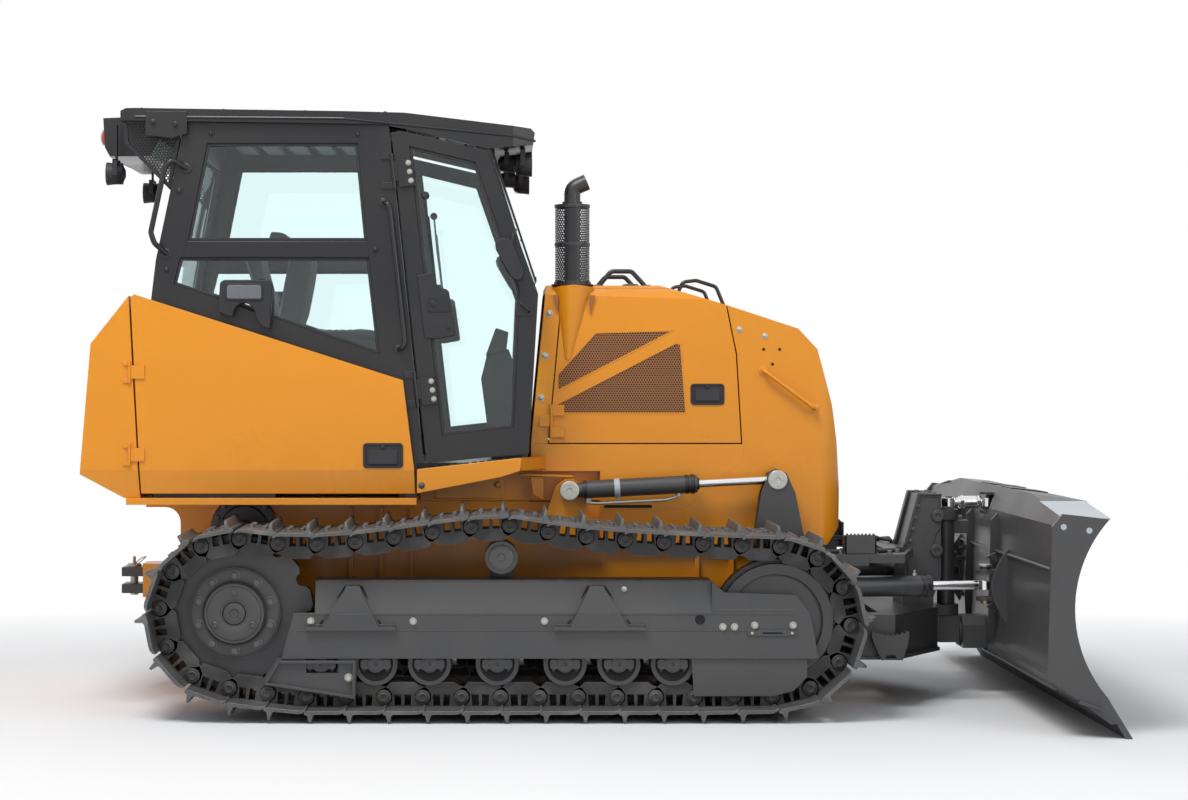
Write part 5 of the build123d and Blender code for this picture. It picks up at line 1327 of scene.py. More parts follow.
    def windscreen(self) -> None:
        """Seals round the windscreen."""
        seals = Form()
        for s in (-1, 1):
            seals.loft([[(0.164 - 0.196 * t + a, s * (0.618 + b), 1.94 + 0.588 * t) for a,
                b in ((-0.006, -0.004), (0.004, -0.004), (0.004, 0.018), (-0.006, 0.018))]
                for t in (0, 1)])
        for z, x in ((1.944, 0.162), (2.516, -0.028)):
            seals.block((x - 0.006, -0.63, z), (x + 0.004, 0.63, z + 0.018))
        seals.finish("windscreen_seals", RUBBER, 0.001)


# ---- seat and controls ----
@dataclass
class Pad:
    """Stuffed cushion: a crowned form whose sides pull in between its corners."""

    name: str
    centre: Spot
    size: Spot
    lean: float = 0.0
    crown: float = 0.018
    channels: tuple[float, ...] = ()
    bolster: float = 0.0
    cells: int = 22

    def shape(self, u: float, v: float, w: float) -> Vector:
        """Point of the pad, each argument from -1 to 1 across its length, width and thickness."""
        length, width, thick = (v / 2 for v in self.size)
        pull = 0.035 * (1 - abs(w)) * (1 - 0.6 * (u * v) ** 2)
        puff = (1 - u ** 4) * (1 - v ** 4)
        seam = sum(exp(-((u * length * 2 - c) / 0.009) ** 2) for c in self.channels)
        rise = self.crown * puff + self.bolster * abs(v) ** 5 * (1 - u ** 6) - 0.009 * seam * (
            w > 0)
        x = u * length * (1 - pull * abs(u) ** 3)
        y = v * width * (1 - pull * abs(v) ** 3)
        z = w * thick + (rise if w > 0 else -0.2 * self.crown * puff) * abs(w)
        return Vector((x, y, z))

    def build(self) -> bpy.types.Object:
        """Make the pad, with the fill worked in by a short cloth run."""
        form, n = Form(), self.cells
        made: dict[tuple[int, int, int], object] = {}
        layers = 4

        def vert(i: int, j: int, k: int) -> object:
            """Corner of the pad's lattice."""
            if (i, j, k) not in made:
                u, v, w = 2 * i / n - 1, 2 * j / n - 1, 2 * k / layers - 1
                made[(i, j, k)] = form.bm.verts.new(self.shape(u, v, w))
            return made[(i, j, k)]

        for k in (0, layers):
            for i in range(n):
                for j in range(n):
                    form.bm.faces.new((vert(i, j, k), vert(i + 1, j, k), vert(i + 1, j + 1, k),
                        vert(i, j + 1, k)))
        for k in range(layers):
            for i in range(n):
                for a, b in (((i, 0), (i + 1, 0)), ((i, n), (i + 1, n)), ((0, i), (0, i + 1)),
                        ((n, i), (n, i + 1))):
                    form.bm.faces.new((vert(*a, k), vert(*b, k), vert(*b, k + 1), vert(*a, k + 1)))
        turn = Matrix.Translation(Vector(self.centre)) @ Matrix.Rotation(-self.lean, 4, "Y")
        bmesh.ops.transform(form.bm, matrix=turn, verts=form.bm.verts)
        pad = form.finish(self.name, SEAT_CLOTH, smooth=70.0)
        self.fill(pad)
        smooth = pad.modifiers.new("round", "SUBSURF")
        smooth.levels = smooth.render_levels = 1
        return pad

    def fill(self, pad: bpy.types.Object, steps: int = 14, most: float = 0.012) -> None:
        """Blow the pad up a little as cloth, each point moving no further than a cap."""
        rest = [v.co.copy() for v in pad.data.vertices]
        cloth = pad.modifiers.new("cloth", "CLOTH")
        cloth.settings.use_pressure = True
        cloth.settings.uniform_pressure_force = 4.0
        cloth.settings.effector_weights.gravity = 0.0
        cloth.settings.tension_stiffness = 40
        scene = bpy.context.scene
        for step in range(1, steps + 1):
            scene.frame_set(step)
        seen = pad.evaluated_get(bpy.context.evaluated_depsgraph_get())
        moved = [v.co.copy() for v in seen.data.vertices]
        pad.modifiers.remove(cloth)
        scene.frame_set(1)
        for vertex, start, end in zip(pad.data.vertices, rest, moved):
            shift = end - start
            if shift.length > most:
                shift = shift.normalized() * most
            vertex.co = start + shift


@dataclass
class Seat:
    """Operator's seat with its pads, piping, armrests and levers, and the instrument panel."""

    def build(self) -> None:
        """Make the seat and the controls."""
        cushion = Pad("seat_cushion", (-0.715, 0.0, 1.56), (0.44, 0.44, 0.075), 0.06,
            channels=(-0.1, 0.06), bolster=0.016).build()
        Pad("seat_back", (-0.985, 0.0, 1.85), (0.52, 0.42, 0.08), radians(-101), 0.016,
            channels=(-0.12, 0.02, 0.14), bolster=0.018).build()
        Pad("seat_headrest", (-1.058, 0.0, 2.145), (0.095, 0.26, 0.07), radians(-101), 0.01).build()
        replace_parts(cushion, "seat")
        for s in (-1, 1):
            Pad("armrest_" + ("r" if s < 0 else "l"), (-0.745, s * 0.342, 1.7), (0.34, 0.09, 0.04),
                0.0, 0.006, channels=(-0.12, -0.06, 0.0, 0.06, 0.12)).build()
        shell = Form().loft([[(-1.01 - 0.2 * t - 0.03 * (1 - abs(v)), 0.215 * v, 1.5 + 0.62 * t)
            for v in (-1, -0.6, 0, 0.6, 1)] + [(-0.985 - 0.165 * t, 0.215 * v, 1.505 + 0.62 * t)
            for v in (1, 0.6, 0, -0.6, -1)] for t in (0, 0.25, 0.5, 0.75, 1)])
        shell.prism(rounded_box(-0.985, -0.48, -0.215, 0.215, 0.05), Axis.Z, 1.485, 1.52)
        for s in (-1, 1):
            shell.tube([(-1.052, s * 0.055, 2.06), (-1.062, s * 0.055, 2.15)], 0.006, 0.01, 8)
        shell.finish("seat_shell", PLASTIC, 0.004)
        bellows = Form()
        for k in range(6):
            half = 0.165 + 0.012 * (k % 2)
            bellows.prism(rounded_box(-0.76 - half, -0.76 + half, -half, half, 0.03), Axis.Z,
                1.3 + 0.03 * k, 1.331 + 0.03 * k)
        bellows.finish("seat_bellows", RUBBER, 0.004)
        self.controls()

    def controls(self) -> None:
        """Levers, screen, switches and headliner."""
        levers = Form()
        for s in (-1, 1):
            x, y = -0.545, s * 0.342
            levers.lathe([(0, 0.034), (0.012, 0.031), (0.024, 0.024), (0.036, 0.018), (0.05, 0.012),
                (0.09, 0.011), (0.105, 0.018), (0.15, 0.021), (0.185, 0.02), (0.2, 0.012), (0.203,
                0)], (x, y, 1.678), Vector((0.1, 0, 1)), 20)
            for k in range(4):
                levers.block((-0.7 + 0.045 * k, y - s * 0.02 - 0.008, 1.6785), (-0.68 + 0.045 * k,
                    y - s * 0.02 + 0.008, 1.686))
        levers.finish("levers", RUBBER, 0.0015)
        panel = Form().loft([[(-0.075 + 0.04 * t, y, 1.6 + 0.02 * t), (0.03, y, 1.632), (0.04, y,
            1.72), (-0.02, y, 1.74)] for y, t in ((-0.185, 0), (-0.165, 1), (0.165, 1), (0.185,
            0))])
        panel.finish("instrument_hood", PLASTIC, 0.006)
        Form().loft([[(-0.062, y, 1.612), (-0.026, y, 1.728), (-0.022, y, 1.727), (-0.058, y,
            1.611)] for y in (-0.12, 0.12)]).finish("screen", LENS, 0.002)
        lining = Form()
        for k in range(9):
            x = -1.3 + 0.13 * k
            lining.plate([(x, 2.64), (x + 0.1, 2.64), (x + 0.09, 2.622), (x + 0.01, 2.622)], -0.6,
                0.6)
        lining.finish("headliner", PLASTIC, 0.004)


# ---- body ----
@dataclass
class Body:
    """Latches, caps and lamps of the side boxes and the tank, and the grip on the steps."""

    half: float = 0.8

    def build(self) -> None:
        """Make all pieces of the body."""
        both(self.side)
        self.rear()
        self.hull()
        self.hitch()

    def side(self, name: str, s: int) -> None:
        """Latch of the side door, and the step's bolt and grip."""
        y, out, door = s * self.half, Vector((0, s, 0)), "side_door_" + name
        frame = rounded_box(-0.613, -0.434, 1.1, 1.212, 0.016)
        Form().plate(frame, y - s * 0.006, y + s * 0.001).band(frame, 0.01, Axis.Y, y,
            y + s * 0.006).finish("side_latch_" + name, PLASTIC, 0.0015, body=door)
        paddle = Form().loft([[(x, y + s * d, z) for x, d in ((-0.59, 0), (-0.46, 0), (-0.46, d1),
            (-0.59, d1))] for z, d1 in ((1.118, 0.013), (1.142, 0.01), (1.18, 0.005))])
        paddle.lathe([(0, 0.01), (0.008, 0.01), (0.009, 0.008)], (-0.524, y, 1.194), out, 18)
        paddle.finish("side_paddle_" + name, PLASTIC, 0.0015, body=door)
        bolts = Form().dome((-0.351, y, 1.022), out, 0.011)
        bolts.finish("step_bolt_" + name, BOLT)
        grip = Form()
        up = Vector((-0.11, 0, 1)).normalized()
        for i in range(12):
            for j in range(2):
                x = -0.32 + 0.034 * i
                grip.lathe([(0, 0.01), (0.004, 0.01), (0.005, 0.006), (0.005, 0)],
                    (x, s * (0.722 + 0.04 * j), 1.0935 + 0.1116 * (x + 0.372)), up, 10)
        grip.finish("step_grip_" + name, BLACK)
        step = Form().plate([(-0.372, 1.0945), (0.094, 1.1465), (0.096, 1.132), (0.09, 1.086),
            (0.0, 1.0575), (-0.372, 0.9855)], s * (self.half - 0.004), y + s * 0.002)
        step.loft([[(x, s * wide, z) for x, z in ends] for wide, ends in ((self.half - 0.001,
            ((0.093, 1.086), (0.093, 1.146), (0.08, 1.145), (0.08, 1.083))), (0.462,
            ((0.216, 1.084), (0.216, 1.142), (0.2, 1.142), (0.2, 1.084))))])
        step.finish("step_face_" + name, ORANGE, 0.003)
        flank = Form().plate([(-0.372, 0.936), (0.47, 0.936), (0.47, 1.125), (-0.372, 1.08)],
            s * 0.402, s * 0.412)
        flank.plate([(-0.3, 0.945), (0.02, 0.945), (0.02, 1.06), (-0.3, 1.045)], s * 0.41,
            s * 0.418)
        for x in (-0.27, -0.01):
            flank.bolt((x, s * 0.418, 1.01), out, 0.026)
        flank.finish("flank_" + name, ORANGE, 0.003)

    def rear(self) -> None:
        """Filler neck, reflectors with their frames, and seams on the tank."""
        foot, way = Vector((-1.752, 0.4, 1.76)), Vector((-0.785, 0, 0.62))
        neck = Form().lathe([(-0.01, 0.06), (0.02, 0.06), (0.024, 0.052), (0.03, 0.052), (0.052,
            0.05), (0.06, 0.04), (0.06, 0)], foot, way, 36)
        for u, v in circle(12, 0.0505):
            at = foot + way.normalized() * 0.041 + Vector((0.62 * v, u, 0.785 * v))
            neck.lathe([(-0.01, 0.004), (0.012, 0.004)], at, way, 8)
        neck.finish("filler_cap", PLASTIC)
        red = Form()
        for s in (-1, 1):
            red.loft([[(x - d, s * y, z) for x, y, z in ((-1.8405, 0.7, 1.56), (-1.8405, 0.62,
                1.56), (-1.848, 0.62, 1.47), (-1.848, 0.7, 1.47))] for d in (-0.004, 0.01)])
        red.finish("tail_reflectors", RED, 0.003)
        frame = Form()
        for s in (-1, 1):
            frame.loft([[(x - d, s * y, z) for x, y, z in ((-1.8395, 0.712, 1.572), (-1.8395, 0.608,
                1.572), (-1.849, 0.608, 1.458), (-1.849, 0.712, 1.458))] for d in (-0.004, 0.004)])
        frame.finish("tail_frames", PLASTIC, 0.002)
        seam = Form()
        for y in (-0.33, 0.33):
            seam.loft([[(-1.834 + a, y - 0.004, 1.655), (-1.834 + a, y + 0.004, 1.655),
                (-1.8825 + a, y + 0.004, 1.075), (-1.8825 + a, y - 0.004, 1.075)] for a in (0.004,
                -0.0012)])
        seam.finish("tank_seams", SHADE_AND_JOINT_BLACK)

    def hull(self) -> None:
        """Rings of bolts on the hull's round covers, the covers, ribs and belly plates."""
        bolts, plates, brake = Form(), Form(), Form()
        for s in (-1, 1):
            out = Vector((0, s, 0))
            for u, v in circle(16, 0.14):
                if v < 0.12:
                    bolts.bolt((-1.182 + 0.134 / 0.14 * u, s * 0.427, 0.806 + v), out, 0.022)
            brake.lathe([(0, 0.157), (0.004, 0.157), (0.006, 0.153), (0.006, 0.112), (0.012, 0.104),
                (0.012, 0.04), (0.02, 0.034), (0.02, 0)], (-1.182, s * 0.4215, 0.806), out, 56)
            for x in (-0.7, -0.56, -0.42, 0.9, 1.06):
                plates.block((x, s * 0.398, 0.56), (x + 0.022, s * 0.425, 0.905))
        bolts.finish("hull_bolts", BOLT)
        plates.finish("hull_ribs", ORANGE, 0.002)
        brake.finish("brake_covers", BLACK)
        belly = Form()
        for x in (-1.05, -0.5, 0.05, 0.6):
            belly.block((x, -0.34, 0.323), (x + 0.488, 0.34, 0.333))
        belly.finish("belly_plates", CHARCOAL, 0.002)

    def hitch(self) -> None:
        """Pin of the drawbar with its clip and ring."""
        pin = Form().lathe([(-0.004, 0.0192), (0.14, 0.0192)], (-1.752, 0, 0.47), UP, 28)
        pin.lathe([(0, 0.034), (0.012, 0.034), (0.016, 0.028), (0.016, 0)], (-1.752, 0, 0.6005), UP,
            28)
        pin.lathe([(0, 0.03), (0.006, 0.03), (0.006, 0)], (-1.752, 0, 0.474), UP, 24)
        pin.tube([(-1.752, -0.02, 0.612), (-1.752, -0.02, 0.646), (-1.752, 0.02, 0.646), (-1.752,
            0.02, 0.612)], 0.005, 0.015, 10)
        pin.finish("hitch_pin", ZINC)
        clip = Form().tube([(-1.74, -0.04, 0.606), (-1.7, -0.055, 0.64), (-1.69, -0.02, 0.652),
            (-1.72, 0.01, 0.64), (-1.745, 0.004, 0.618)], 0.0025, 0.02, 8)
        clip.finish("hitch_clip", ZINC)
        jaw = Form()
        for z in (0.48, 0.56):
            jaw.prism([(-1.8025, -0.0725), (-1.632, -0.0725), (-1.632, 0.0725), (-1.8025, 0.0725)],
                Axis.Z, z - 0.002, z + 0.042)
        jaw.finish("jaw_plates", CHARCOAL, 0.004)


# ---- undercarriage ----
@dataclass
class Undercarriage:
    """Bolts, caps, covers and brackets of the sprockets, wheels and track frames."""

    track_y: float = 0.889
    sprocket: Pair = (-1.17, 0.466)
    idler: Pair = (1.208, 0.432)
    rollers: tuple = (-0.788, -0.547, -0.31, -0.012, 0.286, 0.523, 0.759)
    roller_z: float = 0.2443
    gussets: tuple = ((-0.782, -0.53, -0.672, -0.616), (0.305, 0.564, 0.394, 0.452))

    def build(self) -> None:
        """Make the pieces of both sides."""
        both(self.drive)
        both(self.wheels)
        both(self.frame)

    def drive(self, name: str, s: int) -> None:
        """Hub rings, bolts and plug of one sprocket."""
        out = Vector((0, s, 0))
        x, z = self.sprocket
        face = s * (self.track_y + 0.066)
        hub = Form().lathe([(0, 0.136), (0, 0.196), (0.004, 0.196), (0.008, 0.19), (0.008, 0.142),
            (0.004, 0.136)], (x, face, z), out, 64, hollow=True)
        cover = s * (self.track_y + 0.104)
        hub.lathe([(0, 0.06), (0, 0.12), (0.005, 0.118), (0.008, 0.11), (0.008, 0.072), (0.003,
            0.06)], (x, cover, z), out, 56, hollow=True)
        hub.lathe([(-0.016, 0.05), (-0.004, 0.048), (0.002, 0.03), (0.002, 0.022), (-0.004, 0.018),
            (-0.004, 0)], (x, cover, z), out, 36)
        hub.finish("hub_" + name, RUNNING)
        bolts = Form()
        for u, v in circle(10, 0.166, 18):
            at = (x + u, face + s * 0.007, z + v)
            bolts.lathe([(-0.002, 0.024), (0.003, 0.024), (0.005, 0.02)], at, out, 20)
            bolts.bolt(at, out, 0.034, 0.018, washer=False)
        for u, v in circle(3, 0.095, 90):
            bolts.lathe([(0, 0.014), (0.01, 0.014), (0.013, 0.01), (0.008, 0.007), (0.008, 0)],
                (x + u, cover + s * 0.006, z + v), out, 18)
        bolts.finish("hub_bolts_" + name, BOLT)

    def wheels(self, name: str, s: int) -> None:
        """End caps of the rollers, the idler and the carrier roller."""
        out = Vector((0, s, 0))
        caps, bolts, wells = Form(), Form(), Form()
        for x in self.rollers:
            for side in (-1, 1):
                at = (x, s * self.track_y + side * 0.101, self.roller_z)
                way = Vector((0, side, 0))
                # Near-black disc under each cap: painted shade in the well round the roller's hub.
                wells.lathe([(-0.004, 0.076), (0.0015, 0.076), (0.0015, 0.0)], at, way, 36)
                caps.lathe([(0, 0.037), (0.016, 0.037), (0.018, 0.034), (0.018, 0.008), (0.013,
                    0.006), (0.013, 0)], at, way, 28)
                for fore in (-1, 1):
                    caps.plate([(x + fore * u, self.roller_z + v) for u, v in ((0.02, -0.02),
                        (0.056, -0.022), (0.066, -0.012), (0.066, 0.016), (0.056, 0.022), (0.02,
                        0.02))], at[1], at[1] + side * 0.015)
                    caps.bolt((x + fore * 0.05, at[1] + side * 0.006, self.roller_z - 0.023),
                        Vector((0, 0, -1)), 0.014, 0.008, washer=False)
        x, z = self.idler
        for side in (-1, 1):
            at = (x, s * self.track_y + side * 0.096, z)
            caps.lathe([(-0.05, 0.238), (-0.03, 0.238), (-0.022, 0.216), (-0.016, 0.15), (-0.01,
                0.08), (0.004, 0.066), (0.006, 0.05)], at, Vector((0, side, 0)), 72)
        caps.finish("wheel_caps_" + name, RUNNING)
        wells.finish("roller_well_shade_" + name, SHADE_AND_JOINT_BLACK)
        cap = (0.006, s * (self.track_y + 0.092), 0.712)
        bolts.lathe([(-0.002, 0.056), (0.006, 0.054), (0.012, 0.04), (0.012, 0.018), (0.016, 0.016),
            (0.016, 0)], cap, out, 32)
        for u, v in circle(4, 0.046, 45):
            bolts.bolt((0.006 + u, s * (self.track_y + 0.098), 0.712 + v), out, 0.014, 0.007,
                washer=False)
        bolts.finish("roller_bolts_" + name, BOLT)

    def slant(self, z: float) -> float:
        """Distance of the bent cover's outer face from the track's middle."""
        return 0.14 - 0.045 * max(0.0, z - 0.472) / 0.14

    def frame(self, name: str, s: int) -> None:
        """Covers, gussets, bolts, plug and slots of one track frame."""
        out = Vector((0, s, 0))

        def y(depth: float) -> float:
            """Place across the machine, from the track's middle outward."""
            return s * (self.track_y + depth)

        plates = Form()
        plates.loft([[(x, y(self.slant(z) + d), z) for x, z in ((0.948, 0.482), (1.292, 0.482),
            (1.292, 0.546), (0.986, 0.556), (0.948, 0.592))] for d in (-0.004, 0.0055)])
        plates.block((1.085, y(0.139), 0.398), (1.3, y(0.147), 0.372))
        for x0, x1, a0, a1 in self.gussets:
            # gusset's leaning face and the pad beside its foot
            m0, m1 = (x0 + (a0 - x0) * 0.35, x1 + (a1 - x1) * 0.35)
            for ends in (((x0, 0.168, 0.408), (x1, 0.168, 0.408), (m1, 0.174, 0.471), (m0, 0.174,
                    0.471)), ((m0, 0.174, 0.471), (m1, 0.174, 0.471), (a1, 0.163, 0.588),
                    (a0, 0.163, 0.588))):
                plates.loft([[(x, y(d if out_face else 0.158), z) for x, d, z in ends]
                    for out_face in (0, 1)])
            plates.block((x0 - 0.066, y(0.138), 0.402), (x1 + 0.07, y(0.146), 0.424))
        for z in (0.464, 0.393):
            plates.block((-0.893, y(0.139), z), (1.29, y(0.1425), z + 0.006))
        plates.finish("frame_plates_" + name, RUNNING, 0.002)
        bolts = Form()
        for x, z in ((-0.381, 0.437), (0.195, 0.437), (0.977, 0.412), (1.028, 0.412), (1.117,
                0.419), (1.285, 0.419), (-0.83, 0.437)):
            bolts.bolt((x, y(0.14), z), out, 0.026)
        bolts.bolt((0.546, y(self.slant(0.575)), 0.575), Vector((0, s, 0.32)).normalized(), 0.02)
        for x in (1.105, 1.28):
            bolts.bolt((x, y(0.147), 0.385), out, 0.014, 0.006, washer=False)
        bolts.finish("frame_zinc_" + name, ZINC)
        dark = Form().lathe([(-0.002, 0.022), (0.003, 0.022), (0.005, 0.018), (0.002, 0.01), (0.002,
            0)], (0.877, y(0.14), 0.444), out, 24)
        dark.plate(rounded_box(1.15, 1.24, 0.381, 0.389, 0.0035), y(0.1465), y(0.1475))
        for x0, x1, a0, a1 in self.gussets:
            for a, b in (((x0 - 0.006, 0.425), (a0 - 0.006, 0.588)), ((x1 + 0.006, 0.425),
                    (a1 + 0.006, 0.588))):
                dark.tube([(a[0], y(0.14), a[1]), (b[0], y(self.slant(b[1]) + 0.001), b[1])], 0.005,
                    0.01, 6)
        dark.finish("frame_plugs_" + name, SHADE_AND_JOINT_BLACK)
        guards = Form().band([(-0.975, 0.264), (-0.632, 0.264), (-0.636, 0.096), (-1.04, 0.158)],
            0.013, Axis.Y, y(0.126), y(0.15))
        guards.finish("guard_rim_" + name, RUNNING, 0.002)
        bolts = Form().bolt((-0.665, y(0.128), 0.188), out, 0.03, 0.016)
        for x, z in ((0.89, 0.24), (1.29, 0.24), (0.9, 0.136), (-0.93, 0.24)):
            bolts.bolt((x, y(-0.1285), z), -out, 0.024)
        bolts.finish("guard_bolts_" + name, ZINC)
        welds = Form()
        welds.tube([(-0.8, y(0.0955), 0.6115), (0.925, y(0.0955), 0.6115)], 0.004, 0.01, 6)
        welds.finish("frame_welds_" + name, RUNNING)


# ---- front end ----
@dataclass
class FrontEnd:
    """Pins, caps, pipes, steps, tower fittings and the blade's ribs, plates and bolts."""

    blade_half: float = 1.6

    def build(self) -> None:
        """Make all pieces in front of the hull."""
        both(self.lift)
        both(self.angle)
        self.frame_steps()
        self.tower()
        self.link()
        self.blade_back()
        self.blade_front()
        self.tilt()

    def disc(self, form: Form, at: Spot, axis: Vector, radius: float) -> None:
        """Add a pin's end plate with a centre and four small holes drawn as studs."""
        form.lathe([(-0.004, radius), (0.004, radius), (0.006, radius - 0.003), (0.006,
            radius - 0.006), (0.006, 0.012), (0.003, 0.01), (0.003, 0)], at, axis, 36)
        side = axis.orthogonal().normalized()
        other = axis.cross(side)
        for u, v in circle(4, 0.62 * radius, 45):
            spot = Vector(at) + axis * 0.005 + side * u + other * v
            form.lathe([(0, 0.005), (0.003, 0.005), (0.003, 0)], spot, axis, 10)

    def lift(self, name: str, s: int) -> None:
        """Pins, gland, clamp, pipe and bracket of one lift cylinder."""
        out = Vector((0, s, 0))
        rear, ear = (0.317, 0.989), (1.264, 1.039)
        way = Vector((ear[0] - rear[0], 0, ear[1] - rear[1])).normalized()
        barrel = "lift_barrel_" + name
        pins = Form()
        self.disc(pins, (rear[0], s * 0.596, rear[1]), out, 0.044)
        pins.finish("lift_rear_pin_" + name, ZINC)
        pins = Form()
        self.disc(pins, (ear[0], s * 0.609, ear[1]), out, 0.044)
        pins.lathe([(-0.12, 0.026), (0, 0.026)], (ear[0], s * 0.607, ear[1]), out, 24)
        pins.finish("lift_front_pin_" + name, ZINC, body="push_frame")

        def along(d: float, up: float = 0.0, side: float = 0.0) -> Vector:
            """Place along the cylinder, off its axis."""
            base = Vector((rear[0], s * 0.553, rear[1])) + way * d
            return base + Vector((-way.z, 0, way.x)) * up + Vector((0, s * side, 0))

        caps = Form()
        for d0, r in ((0.555, 0.0455), (0.53, 0.0435)):
            caps.lathe([(0, 0.036), (0, r), (0.014, r), (0.018, r - 0.003), (0.018, 0.036)],
                along(d0), way, 36, hollow=True)
        caps.lathe([(0, 0.03), (0.002, 0.043), (0.016, 0.043), (0.022, 0.038), (0.022, 0.03)],
            along(0.062), way, 36, hollow=True)
        caps.lathe([(0, 0.0205), (0, 0.03), (0.012, 0.027), (0.012, 0.0205)], along(0.582), way, 28,
            hollow=True)
        caps.finish("lift_gland_" + name, BLACK, body=barrel)
        clamp = Form().ring(along(0.205), way, 0.026, 0.04, 0.0435, 36)
        clamp.bolt(along(0.218, -0.046), Vector((way.z, 0, -way.x)), 0.014, 0.008)
        clamp.finish("lift_clamp_" + name, PALE_AND_HIGHLIGHT, body=barrel)
        pipe = Form().tube([along(0.085, -0.036), along(0.085, -0.062), along(0.14, -0.066),
            along(0.44, -0.066), along(0.5, -0.052), along(0.5, -0.03)], 0.0075, 0.02)
        for d in (0.085, 0.5):
            pipe.lathe([(0, 0.014), (0.022, 0.014)], along(d, -0.062 if d < 0.1 else -0.054),
                Vector((-way.z, 0, way.x)), 6)
        pipe.finish("lift_pipe_" + name, ZINC, body=barrel)
        flange = Form().plate([(0.092, 1.064), (0.335, 1.056), (0.335, 1.046), (0.092, 1.054)],
            s * 0.462, s * 0.512)
        flange.plate([(0.14, 1.05), (0.2, 1.048), (0.2, 0.94), (0.15, 0.968)], s * 0.47, s * 0.486)
        flange.finish("lift_flange_" + name, ORANGE, 0.002)

    def angle(self, name: str, s: int) -> None:
        """Pins, gland, bleed screw and cap of one angle cylinder."""
        base, eye = Vector((1.51, s * 0.552, 0.548)), Vector((2.24, s * 0.44, 0.548))
        way, up = (eye - base).normalized(), UP
        gland = Form()
        for d0, r in ((0.448, 0.052), (0.424, 0.05), (0.066, 0.05)):
            gland.lathe([(0, 0.042), (0, r), (0.014, r), (0.018, r - 0.003), (0.018, 0.042)],
                base + way * d0, way, 36, hollow=True)
        gland.lathe([(0, 0.022), (0, 0.036), (0.01, 0.032), (0.01, 0.022)], base + way * 0.471, way,
            28, hollow=True)
        gland.finish("angle_gland_" + name, BLACK, body="angle_barrel_" + name)
        screw = Form()
        for d in (0.1, 0.4):
            at = base + way * d + up * 0.044
            screw.lathe([(0, 0.013), (0.014, 0.013)], at, up, 6)
            screw.lathe([(0.012, 0.006), (0.026, 0.006), (0.028, 0.004)], at, up, 12)
        screw.finish("angle_ports_" + name, ZINC, body="angle_barrel_" + name)
        pins = Form()
        self.disc(pins, (base.x, base.y, 0.5775), up, 0.026)
        pins.finish("angle_pin_" + name, ZINC, body="angle_trunnion_" + name)
        ends = Form()
        self.disc(ends, (eye.x, eye.y, 0.638), up, 0.03)
        ends.finish("clevis_pin_" + name, ZINC, body="blade")
        brass = Form().lathe([(0, 0.022), (0.01, 0.022), (0.014, 0.016), (0.014, 0)], (eye.x, eye.y,
            0.476), -up, 24)
        brass.finish("clevis_nut_" + name, BRASS, body="blade")

    def frame_steps(self) -> None:
        """Serrated steps on the shelf and on the nose box, and plates with bolts."""
        steps = Form()
        for s in (-1, 1):
            outer = s * 0.596
            teeth = [(1.574 + 0.0085 * k, 0.796 if k % 2 else 0.786) for k in range(17)]
            steps.plate([(1.572, 0.7), (1.572, 0.786), *teeth[1:-1], (1.712, 0.786), (1.716, 0.74),
                (1.716, 0.7)], outer - s * 0.008, outer)
            for x in (1.572, 1.708):
                steps.block((x, outer - s * 0.09, 0.7), (x + 0.008, outer, 0.784))
            steps.block((1.57, min(outer, outer - s * 0.11), 0.699), (1.726, max(outer,
                outer - s * 0.11), 0.705))
            teeth = [(1.684 + 0.0107 * k, 0.352 - 0.02 * sin(pi * k / 16) + 0.01 * (k % 2))
                for k in range(17)]
            steps.plate([(1.684, 0.33), *teeth, (1.855, 0.33), (1.85, 0.3), (1.826, 0.224),
                (1.8, 0.224), (1.79, 0.246), (1.752, 0.246), (1.742, 0.224), (1.728, 0.224), (1.694,
                0.3)], s * 0.652, s * 0.66)
            for x, z in ((1.69, 0.3), (1.842, 0.3)):
                steps.block((x, s * (0.56 if x > 1.8 else 0.598), z), (x + 0.008, s * 0.656, 0.35))
            steps.block((1.728, s * 0.56, 0.224), (1.826, s * 0.656, 0.232))
        steps.finish("frame_steps", CHARCOAL, 0.001, body="push_frame")
        bolts = Form()
        for s in (-1, 1):
            for x, y in ((1.47, 0.562), (1.56, 0.562), (1.78, 0.562), (1.83, 0.47), (1.905, 0.19)):
                bolts.bolt((x, s * y, 0.7), UP, 0.024)
            for x, z in ((1.23, 0.7), (1.3, 0.7), (1.264, 0.62), (1.48, 0.42)):
                bolts.dome((x, s * 0.606, z), Vector((0, s, 0)), 0.012)
        bolts.finish("frame_bolts", BOLT, body="push_frame")
        ends = Form()
        for s in (-1, 1):
            ends.lathe([(-0.004, 0.072), (0.008, 0.072), (0.012, 0.066), (0.012, 0.05), (0.02,
                0.046), (0.02, 0)], (0.15, s * 0.606, 0.43), Vector((0, s, 0)), 40)
            for u, v in circle(6, 0.059):
                ends.bolt((0.15 + u, s * 0.617, 0.43 + v), Vector((0, s, 0)), 0.018, 0.009)
            ends.tube([(1.19, s * 0.5, 0.56), (1.19, s * 0.5, 0.96)], 0.006, 0.01, 6)
        ends.finish("arm_caps", CHARCOAL, body="push_frame")

